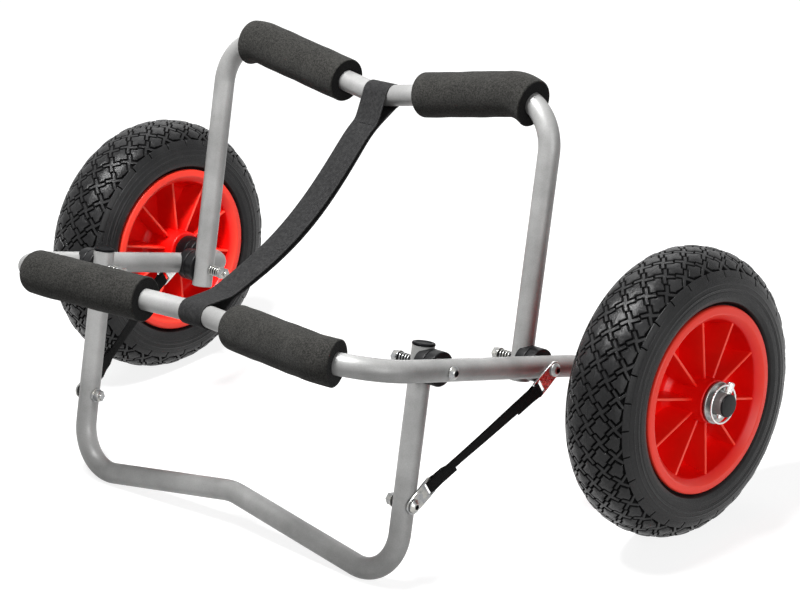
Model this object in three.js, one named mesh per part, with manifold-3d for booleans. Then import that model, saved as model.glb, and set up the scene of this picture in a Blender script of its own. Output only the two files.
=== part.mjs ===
// Folding kayak cart: a lower frame whose tube ends are the axles, an upright frame and a
// kickstand frame on sprung pivots, foam sleeves, webbing, and two wheels held by ring pins.
// Millimetres. X runs from the left wheel to the right one, Y from the nose bar back, Z up.

import * as THREE from 'three';
import { mergeGeometries, mergeVertices } from 'three/addons/utils/BufferGeometryUtils.js';
import Module from 'manifold-3d';

const wasm = await Module();
wasm.setup();

// Shared fits
const fit = 0.3;
const overrun = 6;
const bendStep = THREE.MathUtils.degToRad(21);

// Frame tube, the same for all three frames
const tubeRadius = 10;
const tubeWall = 1.5;
const tubeSides = 12;
const boreSides = 8;
const kinkRadius = 60;

// Lower frame: arms from the axle to the nose bar, ends turned outward as axles
const armHalf = 239;
const armLength = 301;
const noseKink = 44;
const noseCornerRadius = 55;
const elbowRadius = 30;

// Upright frame and kickstand frame, both inside the arms
const pivotSpacing = 27;
const legLean = THREE.MathUtils.degToRad(2);
const uprightPivot = 58.8;
const uprightLength = 241;
const uprightKink = 34.7;
const uprightCornerRadius = 46;
const uprightFoot = 18;
const standSetback = 109;
const standLength = 200;
const standKink = 32.4;
const standCornerRadius = 42;
const standTop = 16.5;

// Foam sleeves: where each starts along its bar, from the bar's middle, and its length
const foamWall = 10.7;
const foamSides = 16;
const topLeftFoamStart = 46;
const topLeftFoamLength = 134;
const topRightFoamStart = 58;
const topRightFoamLength = 132;
const noseLeftFoamStart = 60;
const noseLeftFoamLength = 133;
const noseRightFoamStart = 62;
const noseRightFoamLength = 144;

// Pivot saddles: round blocks, face to face between an arm and a leg
const saddleWall = 5.5;
const saddleShy = 3;
const saddleSides = 16;

// Pivot bolts, nuts and springs
const boltRadius = 3;
const boltHeadRadius = 6.2;
const boltHeadRim = 1.4;
const boltHeadHeight = 4.2;
const boltSides = 10;
const nutAcrossFlats = 10;
const nutHeight = 5.6;
const nutFlangeRadius = 6.6;
const nutFlangeHeight = 1.4;
const nutStandOff = 2;
const springLength = 14.4;
const springRadius = 4.4;
const springWireRadius = 0.7;
const springCurls = 6;
const springStepsPerCurl = 8;
const springWireSides = 4;

// Plugs in the tube ends
const capLip = 0.4;
const capHeight = 2.2;
const capEdge = 0.8;
const capStem = 9;
const capSides = 12;

// Brace straps from the upright's pivots to the kickstand's legs
const braceRise = 76;
const braceWidth = 12.5;
const braceThickness = 1.6;
const braceLoopEase = 0.45;
const tabThickness = 2;
const tabEyeRadius = 7.5;
const tabRim = 1.9;
const tabSlot = 22;
const tabSlotHeight = 4.6;
const tabBar = 4;
const tabCorner = 2;
const standBoltHeadHeight = 3.4;

// Connecting strap between the two foam-covered bars
const strapWidth = 30;
const strapThickness = 2;
const strapEase = 1.1;
const strapNeck = 34;
const strapSag = 9;
const strapSteps = 8;
const strapEyeSides = 10;

// Wheels
const wheelRadius = 130;
const wheelTurns = { left: THREE.MathUtils.degToRad(4.5), right: THREE.MathUtils.degToRad(0.7) };
const tyreHalfWidth = 37;
const tyreSquareness = 2.3;
const tyreShoulderSteps = 2;
const tyreWaistRise = 4;
const tyreCollarRise = 3.5;
const tyreCollarInset = 2;
const treadPitches = 29;
const treadHalfRows = 2;
const treadRowShare = 0.105;
const treadMiddleShare = 0.537;
const treadDepth = 2.6;
const treadGroove = 2.4;
const rimInset = 1.5;
const rimLipRadius = 84.5;
const rimLipWidth = 5.5;
const rimLipRound = 1.8;
const rimLipDepth = 7.5;
const rimFlange = 12.5;
const rimBarrelWall = 3;
const rimDishDraft = 3;
const rimWebHalf = 3;
const rimRibCount = 10;
const rimRibThickness = 2.2;
const rimRibLipInset = 6;
const rimRibHubInset = 5;
const rimRibPhase = THREE.MathUtils.degToRad(15);
const hubProud = 5;
const hubRadius = 19.5;
const hubDraft = 1.2;
const bushWall = 2.6;
const bushProud = 1;
const bushSides = 16;

// Pieces on the axle beside the hub
const elbowGap = 11;
const collarLength = 23.2;
const collarRadius = 16.5;
const collarEdge = 1.2;
const washerRadius = 18.8;
const washerThickness = 2.6;
const washerSides = 16;

// Ring pin through each axle end
const pinGap = 5.1;
const pinToEnd = 4.5;
const pinAngle = THREE.MathUtils.degToRad(72);
const pinRadius = 2.5;
const pinTipProud = 3;
const pinTipTaper = 1.2;
const pinHeadRadius = 3.8;
const pinHeadGap = 1.2;
const pinHeadHeight = 9.2;
const pinSides = 10;
const bailRise = 5.8;
const bailWireRadius = 0.9;
const bailEase = 0.85;
const bailHold = 1;
const bailSteps = 18;
const bailWireSides = 5;

// Sizes that follow from those above
const hexShare = Math.cos(Math.PI / 6);
const legHalf = armHalf - pivotSpacing;
const tubeBore = tubeRadius - tubeWall;
const standPivot = armLength - standSetback;
const braceReach = standLength - braceRise;
const foamRadius = tubeRadius + fit + foamWall;
const saddleRadius = tubeRadius + saddleWall;
const springEnd = legHalf - tubeRadius - fit - springLength;
const nutTip = springEnd - fit - nutFlangeHeight - nutHeight;
const boltTip = nutTip - nutStandOff;
const tabHalfWidth = braceWidth / 2 + braceLoopEase + tabRim;
const saddlePlane = armHalf - pivotSpacing / 2;
const standBarSlope = Math.atan2(standKink, legHalf);
const standReach = standLength + standCornerRadius
  - standCornerRadius * Math.tan(Math.PI / 4 + standBarSlope / 2);
const tyreCollarRadius = rimLipRadius + tyreCollarRise;
const tyreCollarHalf = tyreHalfWidth - tyreCollarInset;
const tyreWaistRadius = tyreCollarRadius + tyreWaistRise;
const rimHalf = tyreHalfWidth - rimInset;
const rimLipInner = rimLipRadius - rimLipDepth;
const rimBarrelRadius = rimLipRadius - rimFlange;
const hubHalf = rimHalf + hubProud;
const bushHalf = hubHalf + bushProud;
const collarInner = armHalf + elbowRadius + elbowGap;
const wheelHalfGauge = collarInner + collarLength + fit + bushHalf;
const washerSeat = wheelHalfGauge + bushHalf + fit;
const pinPlane = washerSeat + washerThickness + pinGap;
const axleHalf = pinPlane + pinToEnd;
const pinTip = tubeRadius + pinTipProud;
const pinHeadBase = tubeRadius + pinHeadGap;
const pinHeadTop = pinHeadBase + pinHeadHeight;
const bailRadius = pinHeadBase + bailRise;
const tilt = restTilt();
const foldSides = [{ side: 'left', sign: -1 }, { side: 'right', sign: 1 }];

// The tilt at which the tyres and the kickstand's bends touch the ground together
function restTilt() {
  const along = standPivot - standReach * Math.sin(legLean);
  const down = standReach * Math.cos(legLean);
  const rise = wheelRadius - tubeRadius;
  return Math.atan2(down, along) - Math.asin(rise / Math.hypot(along, down));
}

// Finishes
const finishes = {
  frame: { color: 0xb4b6b8, roughness: 0.42, metalness: 0.55 },
  foam: { color: 0x35342f, roughness: 0.95, metalness: 0 },
  webbing: { color: 0x2a2b2c, roughness: 0.9, metalness: 0 },
  nylon: { color: 0x17181a, roughness: 0.5, metalness: 0 },
  bush: { color: 0xc9c6ba, roughness: 0.55, metalness: 0 },
  zinc: { color: 0xc3c8ca, roughness: 0.28, metalness: 0.95 },
  rim: { color: 0xd0140c, roughness: 0.34, metalness: 0 },
  tyre: { color: 0x242627, roughness: 0.72, metalness: 0 },
};

function addPiece(group, name, finish, geometry) {
  const mesh = new THREE.Mesh(geometry, new THREE.MeshStandardMaterial(finishes[finish]));
  mesh.name = name;
  group.add(mesh);
  return mesh;
}

// Curve through chosen stations, each with its own tangent, so that straight runs need no rings
class StationPath extends THREE.Curve {
  constructor(stations) {
    super();
    this.stations = stations;
  }

  getUtoTmapping(u) {
    return u;
  }

  locate(t) {
    const place = t * (this.stations.length - 1);
    const low = Math.min(Math.floor(place), this.stations.length - 2);
    return [this.stations[low], this.stations[low + 1], place - low];
  }

  getPoint(t, target = new THREE.Vector3()) {
    const [before, after, share] = this.locate(t);
    return target.lerpVectors(before.point, after.point, share);
  }

  getTangent(t, target = new THREE.Vector3()) {
    const [before, after, share] = this.locate(t);
    return target.lerpVectors(before.tangent, after.tangent, share).normalize();
  }

  // The stretch between two distances from the middle of the path
  between(from, to) {
    const marks = [0];
    for (let i = 1; i < this.stations.length; i += 1) {
      marks.push(marks[i - 1] + this.stations[i].point.distanceTo(this.stations[i - 1].point));
    }
    const middle = marks[marks.length - 1] / 2;
    const at = (mark) => {
      const next = marks.findIndex((value) => value >= mark);
      const share = (mark - marks[next - 1]) / (marks[next] - marks[next - 1]);
      const t = (next - 1 + share) / (this.stations.length - 1);
      return { point: this.getPoint(t), tangent: this.getTangent(t) };
    };
    const low = middle + Math.min(from, to);
    const high = middle + Math.max(from, to);
    const inside = this.stations.filter((station, i) => marks[i] > low + fit && marks[i] < high - fit);
    return new StationPath([at(low), ...inside, at(high)]);
  }
}

// Straight runs joined by round bends, one radius for each inner corner
function bentPath(corners, radii) {
  const heading = (i) => corners[i + 1].clone().sub(corners[i]).normalize();
  const stations = [{ point: corners[0], tangent: heading(0) }];
  for (let i = 1; i < corners.length - 1; i += 1) {
    const into = heading(i - 1);
    const out = heading(i);
    const turn = into.angleTo(out);
    const radius = radii[i - 1];
    const inward = out.clone().addScaledVector(into, -into.dot(out)).normalize();
    const centre = corners[i].clone()
      .addScaledVector(into, -radius * Math.tan(turn / 2))
      .addScaledVector(inward, radius);
    const steps = Math.ceil(turn / bendStep);
    for (let k = 0; k <= steps; k += 1) {
      const angle = turn * k / steps;
      stations.push({
        point: centre.clone()
          .addScaledVector(into, radius * Math.sin(angle))
          .addScaledVector(inward, -radius * Math.cos(angle)),
        tangent: into.clone().multiplyScalar(Math.cos(angle)).addScaledVector(inward, Math.sin(angle)),
      });
    }
  }
  const last = corners.length - 1;
  stations.push({ point: corners[last], tangent: heading(last - 1) });
  return new StationPath(stations);
}

// Outlines
function circlePoints(radius, sides, x = 0, y = 0) {
  return Array.from({ length: sides }, (_, i) => {
    const angle = 2 * Math.PI * i / sides;
    return new THREE.Vector2(x + radius * Math.cos(angle), y + radius * Math.sin(angle));
  });
}

function ringShape(outer, inner, sides, innerSides) {
  const shape = new THREE.Shape(circlePoints(outer, sides));
  if (inner > 0) {
    shape.holes.push(new THREE.Path(circlePoints(inner, innerSides)));
  }
  return shape;
}

function boxShape(left, right, bottom, top) {
  return new THREE.Shape([
    new THREE.Vector2(left, bottom), new THREE.Vector2(right, bottom),
    new THREE.Vector2(right, top), new THREE.Vector2(left, top),
  ]);
}

// A circle drawn out to a point on its right, as webbing closes behind a bar
function dropShape(radius, reach, sides) {
  const open = Math.acos(radius / reach);
  const points = Array.from({ length: sides + 1 }, (_, i) => {
    const angle = open + (2 * Math.PI - 2 * open) * i / sides;
    return new THREE.Vector2(radius * Math.cos(angle), radius * Math.sin(angle));
  });
  return new THREE.Shape([...points, new THREE.Vector2(reach, 0)]);
}

// Closed mesh with shared corners and its faces pointing out
function closed(geometry) {
  geometry.deleteAttribute('normal');
  geometry.deleteAttribute('uv');
  const merged = mergeVertices(geometry, fit / 1000);
  const at = merged.getAttribute('position');
  const index = merged.getIndex();
  const kept = [];
  let volume = 0;
  for (let i = 0; i < index.count; i += 3) {
    const [a, b, c] = [0, 1, 2].map((k) => index.getX(i + k));
    if (a !== b && b !== c && c !== a) {
      const [p, q, r] = [a, b, c].map((k) => new THREE.Vector3().fromBufferAttribute(at, k));
      volume += p.dot(q.cross(r));
      kept.push(a, b, c);
    }
  }
  if (volume < 0) {
    kept.reverse();
  }
  merged.setIndex(kept);
  return merged;
}

function toSolid(geometry) {
  const mesh = closed(geometry);
  return new wasm.Manifold(new wasm.Mesh({
    numProp: 3,
    vertProperties: new Float32Array(mesh.getAttribute('position').array),
    triVerts: new Uint32Array(mesh.getIndex().array),
  }));
}

function fromSolid(solid) {
  const mesh = solid.getMesh();
  const geometry = new THREE.BufferGeometry();
  geometry.setAttribute('position', new THREE.BufferAttribute(new Float32Array(mesh.vertProperties), 3));
  geometry.setIndex(new THREE.BufferAttribute(new Uint32Array(mesh.triVerts), 1));
  geometry.computeVertexNormals();
  return geometry;
}

function finished(geometry) {
  const mesh = closed(geometry);
  mesh.computeVertexNormals();
  return mesh;
}

function cutFrom(body, cutters) {
  return fromSolid(cutters.reduce((solid, cutter) => solid.subtract(toSolid(cutter)), toSolid(body)));
}

// Basic forms
function sweep(path, shape) {
  return new THREE.ExtrudeGeometry(shape, {
    steps: path.stations.length - 1,
    extrudePath: path,
    curveSegments: 1,
  });
}

function plate(shape, depth) {
  return new THREE.ExtrudeGeometry(shape, { depth, bevelEnabled: false, curveSegments: 4 });
}

// Turned about X: each profile point is a distance along X and a radius
function turned(profile, sides) {
  const points = profile.map(([along, radius]) => new THREE.Vector2(radius, along));
  return new THREE.LatheGeometry(points, sides).rotateZ(-Math.PI / 2);
}

function roundBar(radius, from, to, sides) {
  return turned([[from, 0], [from, radius], [to, radius], [to, 0]], sides);
}

function roundTube(outer, inner, from, to, sides) {
  return turned([[from, inner], [from, outer], [to, outer], [to, inner], [from, inner]], sides);
}

// Lower frame: one tube from axle end to axle end
function lowerPath() {
  const corners = [
    new THREE.Vector3(-axleHalf, 0, 0),
    new THREE.Vector3(-armHalf, 0, 0),
    new THREE.Vector3(-armHalf, -armLength, 0),
    new THREE.Vector3(0, noseKink - armLength, 0),
    new THREE.Vector3(armHalf, -armLength, 0),
    new THREE.Vector3(armHalf, 0, 0),
    new THREE.Vector3(axleHalf, 0, 0),
  ];
  return bentPath(corners, [elbowRadius, noseCornerRadius, kinkRadius, noseCornerRadius, elbowRadius]);
}

// A U frame that stands on its pivots: legs along Z, its bar kinked back towards them
function legPath(open, length, kink, cornerRadius) {
  const corners = [
    new THREE.Vector3(-legHalf, 0, -open),
    new THREE.Vector3(-legHalf, 0, length),
    new THREE.Vector3(0, 0, length - kink),
    new THREE.Vector3(legHalf, 0, length),
    new THREE.Vector3(legHalf, 0, -open),
  ];
  return bentPath(corners, [cornerRadius, kinkRadius, cornerRadius]);
}

function tubeShape() {
  return ringShape(tubeRadius, tubeBore, tubeSides, boreSides);
}

function boltHole(x, y, z) {
  const half = tubeRadius + overrun;
  return roundBar(boltRadius + fit, x - half, x + half, boltSides).translate(0, y, z);
}

function lowerFrame() {
  const holes = [];
  for (const { sign } of foldSides) {
    holes.push(boltHole(sign * armHalf, -uprightPivot, 0), boltHole(sign * armHalf, -standPivot, 0));
    holes.push(pinBar(pinRadius + fit, -tubeRadius - overrun, tubeRadius + overrun, sign));
  }
  return cutFrom(sweep(lowerPath(), tubeShape()), holes);
}

function legFrame(path, holeHeights) {
  const holes = holeHeights.flatMap((height) => foldSides.map(({ sign }) => boltHole(sign * legHalf, 0, height)));
  return cutFrom(sweep(path, tubeShape()), holes);
}

// Foam sleeve on a stretch of a bar
function foamSleeve(path, start, length, sign) {
  const stretch = path.between(sign * start, sign * (start + length));
  return finished(sweep(stretch, ringShape(foamRadius, tubeRadius + fit, foamSides, tubeSides)));
}

// Saddle: a round block on the pivot, hollowed for the tube that it hugs
function saddle(sign, tubeCentre, alongZ) {
  const outward = Math.sign(tubeCentre - saddlePlane);
  const face = saddlePlane + outward * fit / 2;
  const back = tubeCentre - outward * saddleShy;
  const block = roundBar(saddleRadius, sign * face, sign * back, saddleSides);
  const reach = saddleRadius + overrun;
  const channel = roundBar(tubeRadius + fit, -reach, reach, tubeSides);
  if (alongZ) {
    channel.rotateY(Math.PI / 2);
  } else {
    channel.rotateZ(Math.PI / 2);
  }
  channel.translate(sign * tubeCentre, 0, 0);
  const reachIn = Math.abs(tubeCentre) + saddleRadius;
  const bore = roundBar(boltRadius + fit, 0, sign * reachIn, boltSides);
  return cutFrom(block, [channel, bore]);
}

// Button head bolt along X, its head at the outer end
function headedBolt(tip, seat, headHeight, sign) {
  const rim = seat + boltHeadRim;
  const top = seat + headHeight;
  const crown = (top + rim) / 2;
  const shoulder = boltHeadRadius * hexShare;
  const profile = [
    [tip, 0], [tip, boltRadius], [seat, boltRadius], [seat, boltHeadRadius],
    [rim, boltHeadRadius], [crown, shoulder], [top, boltHeadRadius / 2], [top, 0],
  ];
  return finished(turned(profile.map(([along, radius]) => [sign * along, radius]), boltSides));
}

// Hex nut with a round flange on its outer side
function flangeNut(inner, sign) {
  const hexRadius = nutAcrossFlats / 2 / hexShare;
  const flange = inner + nutHeight;
  const outer = flange + nutFlangeHeight;
  const hex = toSolid(roundBar(hexRadius, sign * inner, sign * (flange + fit), 6));
  const disc = toSolid(roundBar(nutFlangeRadius, sign * flange, sign * outer, capSides));
  const bore = roundBar(boltRadius + fit, sign * (inner - overrun), sign * (outer + overrun), boltSides);
  return fromSolid(hex.add(disc).subtract(toSolid(bore)));
}

// Compression spring round a bolt, and the least gap between its curls
function springPath(from, to, sign) {
  const low = from + springWireRadius;
  const rise = to - from - 2 * springWireRadius;
  const count = springCurls * springStepsPerCurl;
  const stations = Array.from({ length: count + 1 }, (_, i) => {
    const angle = 2 * Math.PI * i / springStepsPerCurl;
    const climb = rise / (2 * Math.PI * springCurls);
    return {
      point: new THREE.Vector3(
        sign * (low + rise * i / count), springRadius * Math.cos(angle), springRadius * Math.sin(angle)),
      tangent: new THREE.Vector3(
        sign * climb, -springRadius * Math.sin(angle), springRadius * Math.cos(angle)).normalize(),
    };
  });
  return new StationPath(stations);
}

function leastCurlGap(path) {
  let least = Infinity;
  path.stations.forEach((station, i) => {
    for (let k = i + springStepsPerCurl / 2; k < path.stations.length; k += 1) {
      least = Math.min(least, station.point.distanceTo(path.stations[k].point));
    }
  });
  return least - 2 * springWireRadius;
}

// Plug for an open tube end, turned about X with its face at the outer side
function tubePlug(end) {
  const stemRadius = tubeBore * Math.cos(Math.PI / boreSides) - fit;
  const lip = tubeRadius + capLip;
  const seat = end + fit;
  const profile = [
    [end - capStem, 0], [end - capStem, stemRadius], [seat, stemRadius], [seat, lip],
    [seat + capHeight - capEdge, lip], [seat + capHeight, lip - capEdge], [seat + capHeight, 0],
  ];
  return turned(profile, capSides);
}

// Zinc tab: bolt eye at the origin, webbing slot along +X, thickness along Z
function tabPlate() {
  const end = tabSlot + tabSlotHeight / 2 + tabBar;
  const shape = new THREE.Shape();
  shape.absarc(0, 0, tabEyeRadius, Math.PI / 2, 3 * Math.PI / 2, false);
  shape.lineTo(tabSlot - tabSlotHeight, -tabHalfWidth);
  shape.lineTo(end - tabCorner, -tabHalfWidth);
  shape.lineTo(end, tabCorner - tabHalfWidth);
  shape.lineTo(end, tabHalfWidth - tabCorner);
  shape.lineTo(end - tabCorner, tabHalfWidth);
  shape.lineTo(tabSlot - tabSlotHeight, tabHalfWidth);
  shape.holes.push(new THREE.Path(circlePoints(boltRadius + fit, boltSides)));
  const slotHalf = braceWidth / 2 + braceLoopEase;
  const slot = boxShape(tabSlot - tabSlotHeight / 2, tabSlot + tabSlotHeight / 2, -slotHalf, slotHalf);
  shape.holes.push(new THREE.Path(slot.getPoints()));
  return plate(shape, tabThickness);
}

// The tab lies in a plane across X: its length is turned by an angle from +Y towards +Z
function tab(from, angle, sign) {
  const geometry = tabPlate().rotateX(Math.PI / 2).rotateZ(Math.PI / 2).rotateX(angle);
  geometry.translate(sign > 0 ? from : -from - tabThickness, 0, 0);
  return geometry;
}

// Flat strap between two points, with a loop round the tab's bar at each end
function braceStrap(start, end) {
  const span = start.distanceTo(end);
  const loopLength = tabBar / 2 + braceLoopEase * 2;
  const loopHeight = tabThickness / 2 + braceLoopEase * 2;
  const build = (shape) => toSolid(plate(shape, braceWidth).translate(0, 0, -braceWidth / 2));
  const band = boxShape(0, span, -braceThickness / 2, braceThickness / 2);
  let solid = build(band);
  for (const centre of [0, span]) {
    const reach = loopLength + braceThickness;
    const rise = loopHeight + braceThickness;
    solid = solid.add(build(boxShape(centre - reach, centre + reach, -rise, rise)));
  }
  for (const centre of [0, span]) {
    const hole = boxShape(centre - loopLength, centre + loopLength, -loopHeight, loopHeight);
    const cutter = plate(hole, braceWidth + 2 * overrun).translate(0, 0, -braceWidth / 2 - overrun);
    solid = solid.subtract(toSolid(cutter));
  }
  const along = end.clone().sub(start).normalize();
  const across = new THREE.Vector3(1, 0, 0).cross(along).normalize();
  const normal = across.clone().cross(along);
  const turn = new THREE.Matrix4().makeBasis(along, normal, along.clone().cross(normal));
  return fromSolid(solid).applyMatrix4(turn.setPosition(start));
}

// Strap between the bars: a loop round each, closed at the necks, hanging in a shallow curve
function connectingStrap(top, nose) {
  const span = top.distanceTo(nose);
  const inner = tubeRadius + strapEase;
  const depth = (shape, width) => toSolid(plate(shape, width).translate(0, 0, -width / 2));
  const sagAt = (share) => -4 * strapSag * share * (1 - share);
  const line = Array.from({ length: strapSteps + 1 }, (_, i) => {
    const share = i / strapSteps;
    return new THREE.Vector2(strapNeck + (span - 2 * strapNeck) * share, sagAt(share));
  });
  const upper = line.map((point) => new THREE.Vector2(point.x, point.y + strapThickness));
  const lower = line.map((point) => new THREE.Vector2(point.x, point.y - strapThickness)).reverse();
  let solid = depth(new THREE.Shape([
    new THREE.Vector2(strapNeck - strapThickness, strapThickness), ...upper,
    new THREE.Vector2(span - strapNeck + strapThickness, strapThickness),
    new THREE.Vector2(span - strapNeck + strapThickness, -strapThickness), ...lower,
    new THREE.Vector2(strapNeck - strapThickness, -strapThickness),
  ]), strapWidth);
  const place = (body, far) => (far ? body.rotate([0, 0, 180]).translate([span, 0, 0]) : body);
  for (const far of [false, true]) {
    const eye = depth(dropShape(inner + strapThickness, strapNeck + strapThickness, strapEyeSides), strapWidth);
    solid = solid.add(place(eye, far));
  }
  for (const far of [false, true]) {
    const hole = depth(dropShape(inner, strapNeck - strapThickness, strapEyeSides), strapWidth + overrun);
    solid = solid.subtract(place(hole, far));
  }
  const along = nose.clone().sub(top).normalize();
  const side = new THREE.Vector3(1, 0, 0);
  const turn = new THREE.Matrix4().makeBasis(along, side.clone().cross(along), side);
  return fromSolid(solid).applyMatrix4(turn.setPosition(top));
}

// Bars are kinked at the middle, so a strap's eye sits between the kink and the bar beside it
function kinkOffset(kink, half) {
  const slope = Math.atan2(kink, half);
  const atMiddle = kinkRadius * (1 / Math.cos(slope) - 1);
  const atEdge = strapWidth / 2 * Math.tan(slope);
  return (atMiddle + atEdge) / 2;
}

// Outer section of the tyre, from its left side over the crown to its right side
class TyreSection extends THREE.Curve {
  getPoint(t, target = new THREE.Vector2()) {
    const angle = Math.PI * (1 - t);
    const across = Math.cos(angle);
    const power = 2 / tyreSquareness;
    return target.set(
      tyreHalfWidth * Math.sign(across) * Math.abs(across) ** power,
      tyreWaistRadius + (wheelRadius - tyreWaistRadius) * Math.abs(Math.sin(angle)) ** power,
    );
  }
}

const tyreSection = new TyreSection();
const treadEdge = treadHalfRows + 1;

// Share of the section at a tread row, counted from the middle one
function rowShare(row) {
  return treadMiddleShare + treadRowShare * row;
}

// A place on the tread: pitches round the wheel, rows across it, and how deep under the surface
function treadPoint(pitches, row, depth) {
  const share = rowShare(row);
  const at = tyreSection.getPointAt(share);
  const along = tyreSection.getTangentAt(share);
  const angle = Math.PI / 2 + 2 * Math.PI * pitches / treadPitches;
  const radius = at.y - depth * along.x;
  return new THREE.Vector3(at.x + depth * along.y, radius * Math.cos(angle), radius * Math.sin(angle));
}

// Laying a flat pattern on the tread: half a pitch and one row are its units, and it sinks below zero
function onTread(geometry, pitches, row) {
  const spot = geometry.getAttribute('position');
  for (let i = 0; i < spot.count; i += 1) {
    const rowHere = row + spot.getY(i);
    const rise = THREE.MathUtils.clamp(2 * (treadEdge - Math.abs(rowHere)), 0, 1);
    const depth = spot.getZ(i) < 0 ? treadDepth * rise : 0;
    const { x, y, z } = treadPoint(pitches + spot.getX(i) / 2, rowHere, depth);
    spot.setXYZ(i, x, y, z);
  }
  return geometry;
}

// Flat-topped block: a four-sided frustum whose foot meets its neighbours' feet in the grooves
function treadBlock(pitches, row) {
  const rowStep = treadRowShare * tyreSection.getLength();
  const halfPitch = Math.PI * wheelRadius / treadPitches;
  const middleToSide = rowStep * halfPitch / Math.hypot(rowStep, halfPitch);
  const topShare = 1 - treadGroove / 2 / middleToSide;
  const sides = new THREE.CylinderGeometry(topShare, 1, 2, 4, 1, true).rotateX(Math.PI / 2);
  const top = new THREE.ShapeGeometry(new THREE.Shape(circlePoints(topShare, 4))).translate(0, 0, 1);
  return onTread(mergeGeometries([sides, top]), pitches, row);
}

// The sloping face between two shoulder blocks
function treadGore(pitches, side) {
  const shape = new THREE.Shape([
    new THREE.Vector2(0, 0), new THREE.Vector2(side, side), new THREE.Vector2(-side, side),
  ]);
  return onTread(new THREE.ShapeGeometry(shape).translate(0, 0, -1), pitches, side * treadHalfRows);
}

// Sidewalls and the seat that grips the rim between its lips, from one edge of the tread to the other
function tyreProfile() {
  const bead = rimHalf - rimLipWidth - fit;
  const foot = rimBarrelRadius + fit;
  const wall = (side) => Array.from({ length: tyreShoulderSteps + 1 }, (_, i) => {
    const edge = rowShare(side * treadEdge);
    const end = side > 0 ? 1 : 0;
    return tyreSection.getPointAt(edge + (end - edge) * i / tyreShoulderSteps).toArray();
  });
  const seat = [[tyreCollarHalf, tyreCollarRadius], [bead, rimLipRadius + fit], [bead, foot]];
  const mirrored = seat.map(([along, radius]) => [-along, radius]).reverse();
  return [...wall(1), ...seat, ...mirrored, ...wall(-1).reverse()];
}

// Tyre: foam-filled ring with diamond blocks, alternate rows half a pitch apart
function tyre(turn) {
  const pieces = [turned(tyreProfile(), treadPitches)];
  for (let i = 0; i < treadPitches; i += 1) {
    for (let row = -treadHalfRows; row <= treadHalfRows; row += 1) {
      pieces.push(treadBlock(i + (row - treadHalfRows) / 2, row));
    }
    pieces.push(treadGore(i + 1 / 2, 1), treadGore(i + 1 / 2, -1));
  }
  return finished(mergeGeometries(pieces).rotateX(turn));
}

// Rim: lips, barrel, web and hub in one section, with thin ribs on both faces
function rimProfile() {
  const lip = rimHalf - rimLipWidth;
  const inner = rimBarrelRadius - rimBarrelWall;
  const half = [
    [lip, rimBarrelRadius],
    [lip, rimLipRadius - rimLipRound],
    [rimHalf - rimLipRound, rimLipRadius],
    [rimHalf, rimLipRadius - rimLipRound],
    [rimHalf - rimLipRound, rimLipInner],
    [lip, inner + rimBarrelWall / 2],
    [rimWebHalf, inner - rimDishDraft],
    [rimWebHalf, hubRadius + hubDraft],
    [hubHalf, hubRadius],
  ];
  const bore = tubeRadius + 2 * fit + bushWall;
  const mirrored = half.map(([along, radius]) => [-along, radius]).reverse();
  return [...half, [hubHalf, bore], [-hubHalf, bore], ...mirrored, half[0]];
}

function rim(turn) {
  let solid = toSolid(turned(rimProfile(), treadPitches).rotateX(turn));
  const root = hubRadius - hubDraft;
  const outer = rimBarrelRadius - rimBarrelWall / 2;
  for (let i = 0; i < rimRibCount; i += 1) {
    for (const sign of [-1, 1]) {
      const shape = new THREE.Shape([
        new THREE.Vector2(0, root), new THREE.Vector2(sign * (rimHalf - rimRibHubInset), root),
        new THREE.Vector2(sign * (rimHalf - rimRibLipInset), outer), new THREE.Vector2(0, outer),
      ]);
      const rib = plate(shape, rimRibThickness).translate(0, 0, -rimRibThickness / 2);
      rib.rotateX(rimRibPhase + 2 * Math.PI * i / rimRibCount);
      solid = solid.add(toSolid(rib));
    }
  }
  return fromSolid(solid);
}

// Ring pin: bar along a radius of the axle, in the plane of the pin hole
function pinBar(radius, from, to, sign) {
  const bar = roundBar(radius, from, to, pinSides).rotateZ(Math.PI / 2);
  return bar.rotateX(pinAngle).translate(sign * pinPlane, 0, 0);
}

function ringPin(sign) {
  const profile = [
    [-pinTip, 0], [-pinTip, pinRadius - pinTipTaper], [pinTipTaper - pinTip, pinRadius],
    [pinHeadBase, pinRadius], [pinHeadBase, pinHeadRadius],
    [pinHeadTop - pinTipTaper, pinHeadRadius], [pinHeadTop, pinHeadRadius - pinTipTaper], [pinHeadTop, 0],
  ];
  const body = turned(profile, pinSides).rotateZ(Math.PI / 2).rotateX(pinAngle).translate(sign * pinPlane, 0, 0);
  const reach = pinHeadRadius + overrun;
  const eye = roundBar(bailWireRadius + bailEase, -reach, reach, pinSides)
    .rotateY(Math.PI / 2).translate(0, bailRadius, 0);
  return cutFrom(body, [eye.rotateX(pinAngle).translate(sign * pinPlane, 0, 0)]);
}

// Wire ring round the axle, both ends held in the pin's head
function bail(sign) {
  const gap = Math.asin(bailHold / bailRadius);
  const stations = Array.from({ length: bailSteps + 1 }, (_, i) => {
    const angle = pinAngle + gap + (2 * Math.PI - 2 * gap) * i / bailSteps;
    return {
      point: new THREE.Vector3(sign * pinPlane, bailRadius * Math.cos(angle), bailRadius * Math.sin(angle)),
      tangent: new THREE.Vector3(0, -Math.sin(angle), Math.cos(angle)),
    };
  });
  return finished(sweep(new StationPath(stations), new THREE.Shape(circlePoints(bailWireRadius, bailWireSides))));
}

// The cart stands level on its tyres; the chassis group tilts nose up about the axle
const cart = new THREE.Group();
const chassis = new THREE.Group();
chassis.rotation.x = -tilt;
cart.add(chassis);

const upright = new THREE.Group();
upright.position.y = -uprightPivot;
upright.rotation.x = legLean;
chassis.add(upright);

const stand = new THREE.Group();
stand.position.y = -standPivot;
stand.rotation.x = Math.PI + legLean;
chassis.add(stand);

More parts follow.
